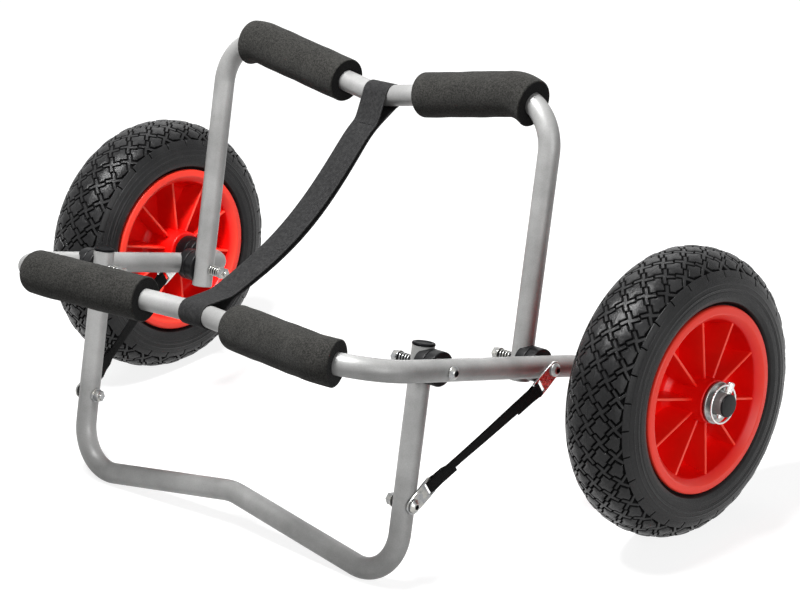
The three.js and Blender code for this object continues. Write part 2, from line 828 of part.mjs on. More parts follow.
// Frames and their foam
const nosePath = lowerPath();
const topPath = legPath(uprightFoot, uprightLength, uprightKink, uprightCornerRadius);
const standPath = legPath(standTop, standLength, standKink, standCornerRadius);
addPiece(chassis, 'lower_frame', 'frame', lowerFrame());
addPiece(upright, 'upright_frame', 'frame', legFrame(topPath, [0]));
addPiece(stand, 'kickstand_frame', 'frame', legFrame(standPath, [0, braceReach]));
addPiece(upright, 'top_foam_left', 'foam', foamSleeve(topPath, topLeftFoamStart, topLeftFoamLength, -1));
addPiece(upright, 'top_foam_right', 'foam', foamSleeve(topPath, topRightFoamStart, topRightFoamLength, 1));
addPiece(chassis, 'nose_foam_left', 'foam', foamSleeve(nosePath, noseLeftFoamStart, noseLeftFoamLength, -1));
addPiece(chassis, 'nose_foam_right', 'foam', foamSleeve(nosePath, noseRightFoamStart, noseRightFoamLength, 1));

// Where the brace straps end, in the chassis frame and in the kickstand's own frame
const standBolt = new THREE.Vector3(
  0, braceReach * Math.sin(legLean) - standPivot, -braceReach * Math.cos(legLean));
const braceDrop = standBolt.clone().add(new THREE.Vector3(0, uprightPivot, 0));
const braceAngle = Math.atan2(braceDrop.z, braceDrop.y);
const barReach = tabSlot + tabSlotHeight / 2 + tabBar / 2;
const armTabFace = armHalf + tubeRadius + fit;
const legTabFace = legHalf + tubeRadius + fit;

function addPivot(name, leg, pivot, seat, side, sign) {
  const arm = new THREE.Group();
  arm.position.y = -pivot;
  chassis.add(arm);
  addPiece(arm, `${name}_arm_saddle_${side}`, 'nylon', saddle(sign, armHalf, false));
  addPiece(leg, `${name}_leg_saddle_${side}`, 'nylon', saddle(sign, legHalf, true));
  addPiece(arm, `${name}_pivot_bolt_${side}`, 'zinc', headedBolt(boltTip, seat + fit, boltHeadHeight, sign));
  addPiece(arm, `${name}_pivot_nut_${side}`, 'zinc', flangeNut(nutTip, sign));
  const path = springPath(springEnd, legHalf - tubeRadius - fit, sign);
  const wire = new THREE.Shape(circlePoints(springWireRadius, springWireSides));
  addPiece(arm, `${name}_pivot_spring_${side}`, 'zinc', finished(sweep(path, wire)));
  console.log(`${name}_pivot_spring_${side}: least gap ${leastCurlGap(path).toFixed(2)} mm`);
  return arm;
}

function addBrace(arm, side, sign) {
  addPiece(arm, `brace_arm_tab_${side}`, 'zinc', finished(tab(armTabFace, braceAngle, sign)));
  const foot = new THREE.Group();
  foot.position.z = braceReach;
  stand.add(foot);
  const footAngle = braceAngle + Math.PI - stand.rotation.x;
  addPiece(foot, `brace_stand_tab_${side}`, 'zinc', finished(tab(legTabFace, footAngle, sign)));
  const seat = legTabFace + tabThickness + fit;
  const inner = legHalf - tubeRadius - fit - nutFlangeHeight - nutHeight;
  addPiece(foot, `brace_bolt_${side}`, 'zinc', headedBolt(inner - nutStandOff, seat, standBoltHeadHeight, sign));
  addPiece(foot, `brace_nut_${side}`, 'zinc', flangeNut(inner, sign));
  const along = new THREE.Vector3(0, Math.cos(braceAngle), Math.sin(braceAngle));
  const start = new THREE.Vector3(sign * (armTabFace + tabThickness / 2), 0, 0).addScaledVector(along, barReach);
  const end = braceDrop.clone().addScaledVector(along, -barReach);
  end.x = sign * (legTabFace + tabThickness / 2);
  addPiece(arm, `brace_strap_${side}`, 'webbing', braceStrap(start, end));
}

for (const { side, sign } of foldSides) {
  const armFace = armHalf + tubeRadius;
  const arm = addPivot('upright', upright, uprightPivot, armTabFace + tabThickness, side, sign);
  addPivot('kickstand', stand, standPivot, armFace, side, sign);
  addBrace(arm, side, sign);
  const plug = tubePlug(standTop).rotateY(Math.PI / 2).translate(sign * legHalf, 0, 0);
  addPiece(stand, `kickstand_cap_${side}`, 'nylon', finished(plug));
}

// Strap between the middles of the two bars
const noseMiddle = new THREE.Vector3(0, noseKink - armLength - kinkOffset(noseKink, armHalf), 0);
const topRise = uprightLength - uprightKink + kinkOffset(uprightKink, legHalf);
const topMiddle = new THREE.Vector3(0, -topRise * Math.sin(legLean) - uprightPivot, topRise * Math.cos(legLean));
addPiece(chassis, 'connecting_strap', 'webbing', connectingStrap(topMiddle, noseMiddle));

// Wheels and what holds them on
function addWheel(side, sign) {
  const wheel = new THREE.Group();
  wheel.position.x = sign * wheelHalfGauge;
  cart.add(wheel);
  addPiece(wheel, `${side}_tyre`, 'tyre', tyre(wheelTurns[side]));
  addPiece(wheel, `${side}_rim`, 'rim', rim(wheelTurns[side]));
  const bush = roundTube(tubeRadius + fit + bushWall, tubeRadius + fit, -bushHalf, bushHalf, bushSides);
  addPiece(wheel, `${side}_hub_bush`, 'bush', finished(bush));
  const bore = tubeRadius + fit;
  const inner = collarInner + collarLength;
  const collar = turned([
    [sign * collarInner, bore], [sign * collarInner, collarRadius - collarEdge],
    [sign * (collarInner + collarEdge), collarRadius], [sign * inner, collarRadius],
    [sign * inner, bore], [sign * collarInner, bore],
  ], washerSides);
  addPiece(chassis, `${side}_axle_collar`, 'nylon', finished(collar));
  const washer = roundTube(washerRadius, bore, sign * washerSeat, sign * (washerSeat + washerThickness), washerSides);
  addPiece(chassis, `${side}_hub_washer`, 'zinc', finished(washer));
  addPiece(chassis, `${side}_ring_pin`, 'zinc', ringPin(sign));
  addPiece(chassis, `${side}_pin_bail`, 'zinc', bail(sign));
  const plug = tubePlug(axleHalf);
  if (sign < 0) {
    plug.rotateZ(Math.PI);
  }
  const pinHole = pinBar(pinRadius + fit, -tubeRadius, tubeRadius, sign);
  addPiece(chassis, `${side}_axle_cap`, 'nylon', cutFrom(plug, [pinHole]));
}

for (const { side, sign } of foldSides) {
  addWheel(side, sign);
}

// Stand the cart on the ground, centred front to back
cart.position.z = wheelRadius;
cart.updateMatrixWorld(true);
cart.position.y = -(new THREE.Box3().setFromObject(chassis, true).min.y + wheelRadius) / 2;
cart.updateMatrixWorld(true);

export default cart;
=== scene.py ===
from math import acos, atan2, ceil, copysign, cos, degrees, hypot, pi, radians, sin, sqrt, tan

import bmesh
import bpy
import numpy as np
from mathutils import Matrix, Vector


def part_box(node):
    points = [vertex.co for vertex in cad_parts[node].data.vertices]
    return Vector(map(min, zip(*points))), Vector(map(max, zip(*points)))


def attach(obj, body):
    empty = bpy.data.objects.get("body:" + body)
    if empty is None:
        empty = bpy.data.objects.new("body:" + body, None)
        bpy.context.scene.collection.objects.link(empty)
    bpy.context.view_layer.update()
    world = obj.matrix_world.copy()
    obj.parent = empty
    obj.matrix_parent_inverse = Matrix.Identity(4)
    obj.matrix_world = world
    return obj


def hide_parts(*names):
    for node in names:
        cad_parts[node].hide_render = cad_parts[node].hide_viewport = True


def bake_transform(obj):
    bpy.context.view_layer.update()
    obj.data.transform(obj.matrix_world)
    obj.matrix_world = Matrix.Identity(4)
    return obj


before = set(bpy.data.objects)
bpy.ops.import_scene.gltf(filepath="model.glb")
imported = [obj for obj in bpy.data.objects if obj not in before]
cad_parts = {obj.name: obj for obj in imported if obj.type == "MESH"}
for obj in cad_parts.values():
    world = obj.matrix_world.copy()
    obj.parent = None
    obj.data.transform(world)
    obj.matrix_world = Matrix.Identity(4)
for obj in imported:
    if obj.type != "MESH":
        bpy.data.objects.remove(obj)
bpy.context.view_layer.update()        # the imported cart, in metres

print("frame loaded:", len(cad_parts), "nodes")

# lengths are in millimetres; clear is the room between a tube and what is bolted to it
cart = dict(
    tube=10.0, wall=1.5, lip=0.35, boreShown=20.0, clear=0.3,
    armHalf=239.0, armLength=301.0, noseKink=44.0, noseCorner=55.0, elbow=30.0, axleHalf=399.0,
    legHalf=212.0, lean=radians(2.0), kinkRadius=60.0,
    uprightPivot=58.8, uprightLength=241.0, uprightKink=34.7, uprightCorner=46.0, uprightFoot=18.0,
    standPivot=192.0, standLength=200.0, standKink=32.4, standCorner=42.0, standTop=16.5,
    wheelHalf=345.0,
)
sides = (("left", -1), ("right", 1))


def nodeMiddle(name):  # middle of a CAD node's box
    low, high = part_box(name)
    return np.array((low + high) / 2) * 1000


def shift(x, y, z):  # 4 x 4 matrix that moves
    matrix = np.eye(4)
    matrix[:3, 3] = (x, y, z)
    return matrix


def turnX(angle):  # 4 x 4 matrix that turns about X
    c, s = cos(angle), sin(angle)
    matrix = np.eye(4)
    matrix[1:3, 1:3] = ((c, -s), (s, c))
    return matrix


def axes(x, y, z, place=(0, 0, 0)):  # 4 x 4 matrix with these three axes, at this place
    matrix = np.eye(4)
    matrix[:3] = np.transpose((x, y, z, place))
    return matrix


def flip(sign):  # half a turn about Z on the left, so that X points outward
    return axes((sign, 0, 0), (0, sign, 0), (0, 0, 1))


axle = nodeMiddle("right_hub_bush")
boltA, boltB = nodeMiddle("kickstand_pivot_bolt_right"), nodeMiddle("upright_pivot_bolt_right")
tilt = atan2(boltA[2] - boltB[2], boltB[1] - boltA[1])
chassis = shift(0, axle[1], axle[2]) @ turnX(-tilt)  # it tilts about the axle,
arms = chassis @ shift(0, -cart["uprightPivot"], 0)
upright = arms @ turnX(cart["lean"])  # and the legs turn about their bolts
stand = chassis @ shift(0, -cart["standPivot"], 0) @ turnX(pi + cart["lean"])
armFace = cart["armHalf"] + cart["tube"] + cart["clear"]
legFace = cart["legHalf"] + cart["tube"] + cart["clear"]
legBack = cart["legHalf"] - cart["tube"] - cart["clear"]


def wheelPlace(sign):
    return shift(sign * cart["wheelHalf"], axle[1], axle[2])


def placed(points, matrix):  # points in mm through a matrix, to metres
    return (points @ matrix[:3, :3].T + matrix[:3, 3]) * 0.001


# every shape is a grid of points, row by row


def makeMesh(name, grids, sharp):  # one mesh from grids (points, uv); seams and poles are merged
    points, faces, uvs, start = [], [], [], 0
    for grid, uv in grids:
        rows, columns = grid.shape[:2]
        i = np.arange(rows - 1)[:, None] * columns + np.arange(columns - 1)[None, :] + start
        points.append(grid.reshape(-1, 3))
        uvs.append(uv.reshape(-1, 2))
        faces.append(np.stack([i, i + 1, i + columns + 1, i + columns], axis=-1).reshape(-1, 4))
        start += rows * columns
    points, faces, uvs = chained(*points), chained(*faces), chained(*uvs)
    mesh = bpy.data.meshes.new(name)
    mesh.from_pydata(points, [], faces)
    layer = mesh.uv_layers.new(name="UVMap")
    layer.data.foreach_set("uv", uvs[faces.ravel()].astype(np.float32).ravel())
    shape = bmesh.new()
    shape.from_mesh(mesh)
    bmesh.ops.remove_doubles(shape, verts=shape.verts, dist=2e-6)
    bmesh.ops.dissolve_degenerate(shape, edges=shape.edges, dist=1e-7)
    bmesh.ops.recalc_face_normals(shape, faces=shape.faces)
    shape.to_mesh(mesh)
    shape.free()
    mesh.polygons.foreach_set("use_smooth", np.ones(len(mesh.polygons), bool))
    mesh.set_sharp_from_angle(angle=radians(sharp))
    return mesh


def plainGrid(grid, matrix, size=1.0):  # a grid whose uv runs evenly from 0 to size both ways
    rows, columns = grid.shape[:2]
    return placed(grid, matrix), joined(np.linspace(0, size, columns),
                                        np.linspace(0, size, rows)[:, None])


def joined(*parts):  # x, y and z, or u and v, side by side in one array
    return np.stack(np.broadcast_arrays(*parts), axis=-1)


def chained(*parts):  # lines or grids, one after another
    return np.concatenate(parts)


def unit(vectors):  # the same directions at length one
    return vectors / np.linalg.norm(vectors, axis=-1, keepdims=True)


def pathLengths(places):  # distance along a line of points
    return np.r_[0, np.cumsum(np.linalg.norm(np.diff(places, axis=0), axis=1))]


def sampled(line, mark, want):  # columns of a line, read off at other distances
    return np.stack([np.interp(want, mark, column) for column in line.T], axis=-1)


def resampled(line, count):  # the same line in even steps
    mark = pathLengths(line)
    return sampled(line, mark, np.linspace(0, mark[-1], count))


def left(ways):  # directions in a plane, turned a quarter to their left
    return joined(-ways[:, 1], ways[:, 0])


def onceRound(around):  # angles once round, with the first again at the end
    return np.linspace(0, 2 * pi, around + 1)


def circle(around):  # a closed ring (cos a, sin a)
    return joined(np.cos(onceRound(around)), np.sin(onceRound(around)))


def roundX(x, r, a):  # points round the X axis: (x, r cos a, r sin a)
    return joined(x, r * np.cos(a), r * np.sin(a))


def arc(corner, into, out, turn, cut, radius, steps):  # centre + radius (into sin a - inward cos a)
    inward = unit(out - into * (into @ out))
    centre = corner - into * cut + inward * radius
    a = np.linspace(0, turn, steps + 1)[:, None]
    return (centre + radius * (into * np.sin(a) - inward * np.cos(a)),
            into * np.cos(a) + inward * np.sin(a))


def turnBetween(into, out):
    return acos(float(np.clip(into @ out, -1, 1)))


def filleted(rows, steps=5):  # rows (x, y, radius): each corner becomes an arc
    rows = np.asarray(rows, float)
    points, radii = rows[:, :2], rows[:, 2]
    line = [points[:1]]
    for i in range(1, len(points) - 1):
        into, out = points[i] - points[i - 1], points[i + 1] - points[i]
        room = 0.49 * min(np.linalg.norm(into), np.linalg.norm(out))
        into, out = unit(into), unit(out)
        turn = turnBetween(into, out)
        if turn < 1e-4 or radii[i] <= 0:
            line.append(points[i:i + 1])
            continue
        cut = min(radii[i] * tan(turn / 2), room)
        line.append(arc(points[i], into, out, turn, cut, cut / tan(turn / 2), steps)[0])
    return chained(*line, points[-1:])


def bentPath(corners, radii, step=3.0):  # straight runs joined by arcs: points and directions
    corners = np.asarray(corners, float)
    ways = unit(np.diff(corners, axis=0))
    line = [(corners[:1], ways[:1])]
    for i, radius in enumerate(radii):
        turn = turnBetween(ways[i], ways[i + 1])
        steps = max(3, ceil(degrees(turn) / step))
        cut = radius * tan(turn / 2)
        line.append(arc(corners[i + 1], ways[i], ways[i + 1], turn, cut, radius, steps))
    line.append((corners[-1:], ways[-1:]))
    return tuple(chained(*part) for part in zip(*line))


def stretchOf(path, start, end, count):  # the path between two distances from its middle
    places, ways = path
    mark = pathLengths(places)
    want = np.linspace(start, end, count) + mark[-1] / 2
    return sampled(places, mark, want), unit(sampled(ways, mark, want))


def carried(path, radii, ring, normal):  # place + radius (ring x side + ring y normal)
    places, ways = path
    side = np.cross(ways, normal)
    ring = ring[None] * np.asarray(radii, float).reshape(len(places), -1, 1)
    return (places[:, None] + ring[..., :1] * side[:, None]
            + ring[..., 1:] * np.asarray(normal, float))


def sweepUv(places, columns):  # turns across, metres along
    return joined(np.linspace(0, 1, columns), pathLengths(places)[:, None] * 0.001)


def spun(profile, around, matrix):  # the profile (x, r) turned about X
    a = onceRound(around)
    grid = roundX(profile[:, :1], profile[:, 1:], a)
    return placed(grid, matrix), joined(a / (2 * pi), pathLengths(profile)[:, None] * 0.001)


def wireGrid(line, ways, radius, normal, around):  # a round wire with domed ends
    dome = np.array([0.0, 0.5, 0.87, 1.0])
    rise = radius * np.sqrt(1 - dome[:, None] ** 2) * 0.8
    places = chained(line[:1] - ways[:1] * rise, line, line[-1:] + ways[-1:] * rise[::-1])
    way = chained(np.repeat(ways[:1], 4, 0), ways, np.repeat(ways[-1:], 4, 0))
    radii = radius * np.r_[dome, np.ones(len(line)), dome[::-1]]
    return carried((places, way), radii, circle(around), normal), places


# materials: sums on sockets are written as sums


class Value:  # a socket that takes part in Python sums
    def __init__(self, paint, socket):
        self.paint, self.socket = paint, socket

    def do(self, how, *others):
        return self.paint.node("Math", dict(operation=how), dict(enumerate((self, *others))))

    def __add__(self, other): return self.do("ADD", other)
    def __sub__(self, other): return self.do("SUBTRACT", other)
    def __mul__(self, other): return self.do("MULTIPLY", other)
    def __truediv__(self, other): return self.do("DIVIDE", other)
    __radd__, __rmul__ = __add__, __mul__

    def __rsub__(self, other):
        return self.paint.node("Math", dict(operation="SUBTRACT"), {0: other, 1: self})

    def above(self, edge, soft):  # 0 below edge, 1 above edge + soft
        return self.paint.node("MapRange", dict(interpolation_type="SMOOTHSTEP"),
                               {"Value": self, "From Min": edge, "From Max": edge + soft})


class Paint:  # one tree of nodes
    def __init__(self, tree):
        self.tree, self.place = tree, None

    def feed(self, socket, value):  # a link where the value is a socket, or else a constant
        if isinstance(value, Value):
            self.tree.links.new(value.socket, socket)
        else:
            socket.default_value = (*value, 1) if socket.type == "RGBA" else value

    def node(self, kind, settings=None, values=None, out=0):
        made = self.tree.nodes.new("ShaderNode" + kind)
        for key, value in (settings or {}).items():
            setattr(made, key, value)
        for key, value in (values or {}).items():
            self.feed(made.inputs[key], value)
        return Value(self, made.outputs[out])

    def where(self, stretch=None):  # Object coordinates, stretched or as they are
        self.place = self.place or self.node("TexCoord", out="Object")
        if stretch is None:
            return self.place
        return self.node("Mapping", {}, {"Vector": self.place, "Scale": stretch})

    def noise(self, scale, detail, rough, stretch=None):
        return self.node("TexNoise", {}, {"Vector": self.where(stretch), "Scale": scale,
                                          "Detail": detail, "Roughness": rough})

    def uv(self, letter):
        return self.node("SeparateXYZ", {}, {"Vector": self.node("TexCoord", out="UV")}, letter)

    def mix(self, share, a, b):
        return self.node("Mix", dict(data_type="RGBA"), {0: share, 6: a, 7: b}, 2)

    def bump(self, height, distance, strength):
        return self.node("Bump", {}, {"Height": height, "Distance": distance, "Strength": strength})


def finish(name, build, *look):  # a material from build(paint, *look), which names its inputs
    names = dict(colour="Base Color", rough="Roughness", metal="Metallic", normal="Normal",
                 sheen="Sheen Weight", sheenRough="Sheen Roughness", specular="Specular IOR Level",
                 glow="Emission Color", strength="Emission Strength")
    material = bpy.data.materials.new(name)
    material.use_nodes = True
    p = Paint(material.node_tree)
    shader = p.tree.nodes["Principled BSDF"]
    for key, value in build(p, *look).items():
        p.feed(shader.inputs[names[key]], value)
    return material


silver = dict(base=(0.31, 0.31, 0.306), dark=(0.14, 0.14, 0.137), grain=900.0, rough=0.45)


def silverCoat(p):  # powder coat: fine flecks, slow clouds and a few long scuffs
    fleck = p.noise(silver["grain"], 3.0, 0.7)
    cloud = p.noise(14.0, 4.0, 0.6)
    scuff = p.noise(1.0, 5.0, 0.7, (60.0, 300.0, 300.0)).above(0.66, 0.06)
    tone = cloud.above(0.3, 0.4) * 0.55 + fleck.above(0.3, 0.45) * 0.2 + scuff * 0.25
    return dict(colour=p.mix(tone, silver["base"], silver["dark"]),
                rough=cloud * 0.14 + fleck * 0.1 + scuff * 0.12 + silver["rough"] - 0.12,
                metal=0.3, specular=0.2, normal=p.bump(fleck * 0.7 + cloud * 0.3, 0.00006, 0.6))


# cut is a near-black painted shade for the foam's cut end faces
foamLook = dict(base=(0.004, 0.004, 0.0036), light=(0.038, 0.037, 0.034),
                cut=(0.002, 0.002, 0.002), pore=1100.0)


def foamSkin(p):  # uv X is 1 on the cut ends, which are painted near-black as shade
    pore = p.node("TexVoronoi", {}, {"Vector": p.where(), "Scale": foamLook["pore"]})
    pebble = p.noise(600.0, 5.0, 0.8)
    cloud = p.noise(38.0, 5.0, 0.65)
    tone = pebble.above(0.40, 0.2) * 0.6 + cloud.above(0.4, 0.3) * 0.15 + pore * 0.15
    skin = p.mix(tone, foamLook["base"], foamLook["light"])
    return dict(colour=p.mix(p.uv("X"), skin, foamLook["cut"]),
                rough=0.98 - pebble * 0.12, sheen=0.04, sheenRough=0.5, specular=0.12,
                normal=p.bump(pore * 0.5 + pebble + cloud * 0.8, 0.0006, 0.8))


strapLook = dict(base=(0.006, 0.006, 0.0065), light=(0.033, 0.033, 0.033),
                 rib=1.5, pick=1.25, edge=13.7)
braceLook = dict(strapLook, base=(0.0004, 0.0004, 0.0005), light=(0.005, 0.005, 0.005))


def webWeave(p, look):  # ribs run along, picks cross them, half a step on in each next rib
    across, along = p.uv("X") * 1000.0, p.uv("Y") * 1000.0
    rib = (across * (2 * pi / look["rib"])).do("SINE") * 0.5 + 0.5
    row = (across / look["rib"]).do("FLOOR").do("MODULO", 2.0)
    pick = ((along / look["pick"] + row * 0.5) * (2 * pi)).do("SINE") * 0.5 + 0.5
    fuzz = p.noise(900.0, 4.0, 0.8)
    fleck = p.noise(330.0, 5.0, 0.85)
    cloud = p.noise(45.0, 3.0, 0.6)
    selvedge = across.do("ABSOLUTE").above(look["edge"], 0.5)
    height = rib * 0.5 + pick * rib * 0.5 + fuzz * 0.4
    tone = (height.above(0.3, 1.0) * 0.35 + fleck.above(0.4, 0.25) * 0.5 + cloud * 0.12
            + selvedge * 0.25)
    return dict(colour=p.mix(tone, look["base"], look["light"]), rough=0.92 - rib * 0.1,
                sheen=0.03, sheenRough=0.45, specular=0.12,
                normal=p.bump(height + fleck * 0.6, 0.00032, 0.9))


nylonLook = dict(base=(0.003, 0.003, 0.0035), light=(0.009, 0.009, 0.0095), pale=(0.50, 0.48, 0.43),
                 paler=(0.62, 0.60, 0.55))


def blackNylon(p, shine):  # moulded nylon with a fine grain
    grain = p.noise(1300.0, 3.0, 0.6)
    cloud = p.noise(90.0, 4.0, 0.6)
    return dict(colour=p.mix(cloud.above(0.4, 0.3), nylonLook["base"], nylonLook["light"]),
                rough=grain * 0.15 + cloud * 0.2 + 0.2, specular=shine,
                normal=p.bump(grain, 0.00005, 0.6))


def paleNylon(p):  # the bushes
    cloud = p.noise(120.0, 4.0, 0.6)
    return dict(colour=p.mix(cloud, nylonLook["pale"], nylonLook["paler"]),
                rough=cloud * 0.2 + 0.4, normal=p.bump(cloud, 0.00005, 0.5))


zincLook = dict(base=(0.27, 0.275, 0.28), warm=(0.36, 0.355, 0.33), brushed=(0.11, 0.11, 0.115),
                rough=0.20)
wireLook = dict(base=(0.66, 0.67, 0.68), warm=(0.72, 0.71, 0.66), brushed=(0.34, 0.34, 0.35),
                rough=0.16)


def zincPlate(p, look):  # fine brushed lines, dull and bright patches
    brush = p.noise(1.0, 4.0, 0.6, (500.0, 2500.0, 2500.0))
    cloud = p.noise(160.0, 4.0, 0.7)
    spot = p.noise(420.0, 5.0, 0.7)
    tint = p.mix(cloud.above(0.42, 0.2), look["base"], look["warm"])
    dull = brush.above(0.5, 0.25) * 0.45 + spot.above(0.5, 0.16) * 0.45
    return dict(colour=p.mix(dull, tint, look["brushed"]),
                rough=cloud * 0.22 + brush * 0.12 + look["rough"] - 0.06, metal=0.95,
                normal=p.bump(brush * 0.6 + cloud * 0.4 + spot * 0.5, 0.00006, 0.7))


def steelPaintedShade(p):  # painted shade, near black, on the thread under the springs and the bottoms of the sockets
    cloud = p.noise(300.0, 4.0, 0.6)
    return dict(colour=p.mix(cloud, (0.010, 0.010, 0.011), (0.035, 0.034, 0.033)),
                rough=cloud * 0.2 + 0.5, metal=0.4, specular=0.1)


# edge is a lighter red, a painted highlight on the rounded edges
redLook = dict(base=(0.86, 0.004, 0.002), deep=(0.74, 0.002, 0.001), flow=(0.90, 0.012, 0.006),
               edge=(1.00, 0.070, 0.036))


def redPlastic(p):  # uv X is 1 on the edges, where a lighter red is painted on as a highlight
    grain = p.noise(1500.0, 3.0, 0.7)
    cloud = p.noise(22.0, 4.0, 0.55)
    flow = p.noise(1.0, 4.0, 0.6, (30.0, 90.0, 90.0))
    tone = p.mix(cloud.above(0.35, 0.35), redLook["base"], redLook["deep"])
    tone = p.mix(flow.above(0.55, 0.2) * 0.4, tone, redLook["flow"])
    return dict(colour=p.mix(p.uv("X"), tone, redLook["edge"]),
                rough=cloud * 0.12 + grain * 0.08 + 0.28, specular=0.35,
                normal=p.bump(grain * 0.5 + flow * 0.4, 0.00006, 0.6))


# floor is a near-black painted shade for the grooves
tyreLook = dict(base=(0.005, 0.005, 0.0053), dusty=(0.019, 0.019, 0.0195),
                floor=(0.0015, 0.0015, 0.0017))


def tyreRubber(p):  # uv X is 1 on blocks, 0 in grooves painted dark as shade; Y runs across the tread
    top, across = p.uv("X").above(0.45, 0.5), (p.uv("Y") - 0.5) * 100.0
    grain = p.noise(700.0, 5.0, 0.75)
    cloud = p.noise(34.0, 5.0, 0.65)
    seam = 1.0 - across.do("ABSOLUTE").above(0.2, 0.25)
    tone = cloud.above(0.38, 0.35) * 0.5 + grain.above(0.4, 0.35) * 0.4 - seam * 0.5
    dustAndHighlight = p.mix(tone, tyreLook["base"], tyreLook["dusty"])
    return dict(colour=p.mix(top, tyreLook["floor"], dustAndHighlight),
                rough=1.0 - top * (0.87 - cloud * 0.18 - grain * 0.2), specular=0.2,
                normal=p.bump(grain * 0.8 + cloud * 0.3 + seam * 1.4, 0.0005, 0.8))


looks = dict(
    frame=finish("silverPowderCoat", silverCoat), foam=finish("charcoalFoam", foamSkin),
    webbing=finish("blackWebbing", webWeave, strapLook),
    braceWebbing=finish("braceWebbing", webWeave, braceLook),
    nylon=finish("blackNylon", blackNylon, 0.16), plug=finish("blackPlug", blackNylon, 0.03),
    bush=finish("paleNylon", paleNylon), zinc=finish("brightZinc", zincPlate, zincLook),
    wire=finish("ringWire", zincPlate, wireLook), rim=finish("redRimPlastic", redPlastic),
    tyre=finish("tyreRubber", tyreRubber), dark=finish("steelPaintedShade", steelPaintedShade),
)
print("materials made:", len(looks))


def addToScene(name, data):
    made = bpy.data.objects.new(name, data)
    bpy.context.scene.collection.objects.link(made)
    return made


def addPiece(name, grids, look, body, node=None, sharp=40.0):
    # a mesh with its material and slot, the node it stands for and the body it rides on
    mesh = makeMesh(name, grids, sharp)
    mesh.materials.append(looks[look])
    piece = addToScene(name, mesh)
    if node:
        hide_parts(node)
    if body:
        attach(piece, body)
    return piece


def turnedPiece(name, rows, matrix, look, body, node, around=64):
    # rows (x, r, radius) of a profile, its corners rounded, turned about X
    return addPiece(name, [spun(filleted(rows), around, matrix)], look, body, node, 35.0)


# the three frames: bent tubes


def lowerLine():  # axle ends, elbows, arms and the nose bar with its kink
    c = cart
    corners = [(-c["axleHalf"], 0, 0), (-c["armHalf"], 0, 0), (-c["armHalf"], -c["armLength"], 0),
               (0, c["noseKink"] - c["armLength"], 0), (c["armHalf"], -c["armLength"], 0),
               (c["armHalf"], 0, 0), (c["axleHalf"], 0, 0)]
    bends = ("elbow", "noseCorner", "kinkRadius", "noseCorner", "elbow")
    return bentPath(corners, [c[bend] for bend in bends])


def legLine(foot, length, kink, corner):  # two legs and the bar between them, kinked in its middle
    half = cart["legHalf"]
    corners = [(-half, 0, -foot), (-half, 0, length), (0, 0, length - kink), (half, 0, length),
               (half, 0, -foot)]
    return bentPath(corners, [corner, cart["kinkRadius"], corner])


noseLine = lowerLine()
topLine = legLine(*(cart["upright" + size] for size in ("Foot", "Length", "Kink", "Corner")))
footLine = legLine(*(cart["stand" + size] for size in ("Top", "Length", "Kink", "Corner")))
squareZ, squareY = (0, 0, 1), (0, 1, 0)  # square to the plane that a tube is bent in


def tubePiece(name, path, normal, matrix, body, node):  # its outside, lips and start of the bore
    places, ways = path
    outer, lip = cart["tube"], cart["lip"]
    goneIn = np.array([cart["boreShown"], cart["boreShown"], 0, lip])[:, None]
    size = [0, outer - cart["wall"], outer - lip, outer]
    line = chained(places[:1] + goneIn * ways[:1], places[1:-1],
                   places[-1:] - goneIn[::-1] * ways[-1:])
    way = chained(np.repeat(ways[:1], 4, 0), ways[1:-1], np.repeat(ways[-1:], 4, 0))
    radii = np.r_[size, np.full(len(places) - 2, outer), size[::-1]]
    grid = carried((line, way), radii, circle(40), normal)
    addPiece(name, [(placed(grid, matrix), sweepUv(line, 41))], "frame", body, node)


tubePiece("lowerTube", noseLine, squareZ, chassis, "base", "lower_frame")
tubePiece("uprightTube", topLine, squareY, upright, "upright", "upright_frame")
tubePiece("kickstandTube", footLine, squareY, stand, "kickstand", "kickstand_frame")
print("frames made")

# foam sleeves: each stretch is start, end and how far its outer end is cut out of square
foam = dict(
    radius=21.0, bore=10.4, edge=1.0, cut=0.3, wave=0.14, shrink=0.2, slantOver=45.0, fill=0.9,
    rows=96, edgeRows=12, around=72,
    topLeft=(46, 180, -0.29), topRight=(58, 190, -0.29),
    noseLeft=(63, 193, 0), noseRight=(62, 206, 0),
)


def foamPiece(name, path, normal, matrix, stretch, sign, body, node):
    # radius plus slow waves along and round it; each end rolls over in a quarter circle, then a cut
    # face goes in to the bore
    f, (start, end, slant) = foam, stretch
    edge, inner, bore = f["edge"], f["radius"] - f["edge"], f["bore"]
    face = inner - f["cut"]
    reach = pathLengths(stretchOf(path, sign * start, sign * end, f["rows"])[0])[-1]
    roll = edge * (1 - np.cos(np.linspace(0, pi / 2, f["edgeRows"])))
    marks = np.r_[roll, np.linspace(edge, reach - edge, f["rows"])[1:-1], reach - roll[::-1]]
    short = np.clip(edge - np.minimum(marks, reach - marks), 0, None)
    bulge = np.sqrt(np.clip(edge ** 2 - short ** 2, 0, None))
    radii = np.r_[bore, face, inner + bulge, face, bore, bore]
    marks = np.r_[0, 0, marks, reach, reach, 0]
    places, ways = stretchOf(path, sign * start, sign * end, 400)
    mark = pathLengths(places)
    places, ways = sampled(places, mark, marks), unit(sampled(ways, mark, marks))
    marks, a = marks[:, None], onceRound(f["around"])
    seed = start * 0.1 + sign
    wave = np.sin(marks * 0.11 + 2 * a + seed) + 0.6 * np.sin(marks * 0.23 - 3 * a + 2 * seed)
    outside = (radii > bore + 1)[:, None]
    size = radii[:, None] + f["wave"] * wave * outside - f["shrink"] * outside
    grid = carried((places, ways), size, circle(f["around"]), normal)
    lean = np.clip((marks - reach + f["slantOver"]) / f["slantOver"], 0, 1) ** 2 * slant * sign
    grid = grid + (lean * np.cos(a) * size)[..., None] * ways[:, None]
    uv = sweepUv(places, f["around"] + 1)
    # uv X is 1 on the cut end faces, which get the painted shade
    uv[..., 0] = np.where(radii > face, 0.0, 1.0)[:, None]
    piece = addPiece(name, [(placed(grid, matrix), uv)], "foam", body, node, 55.0)


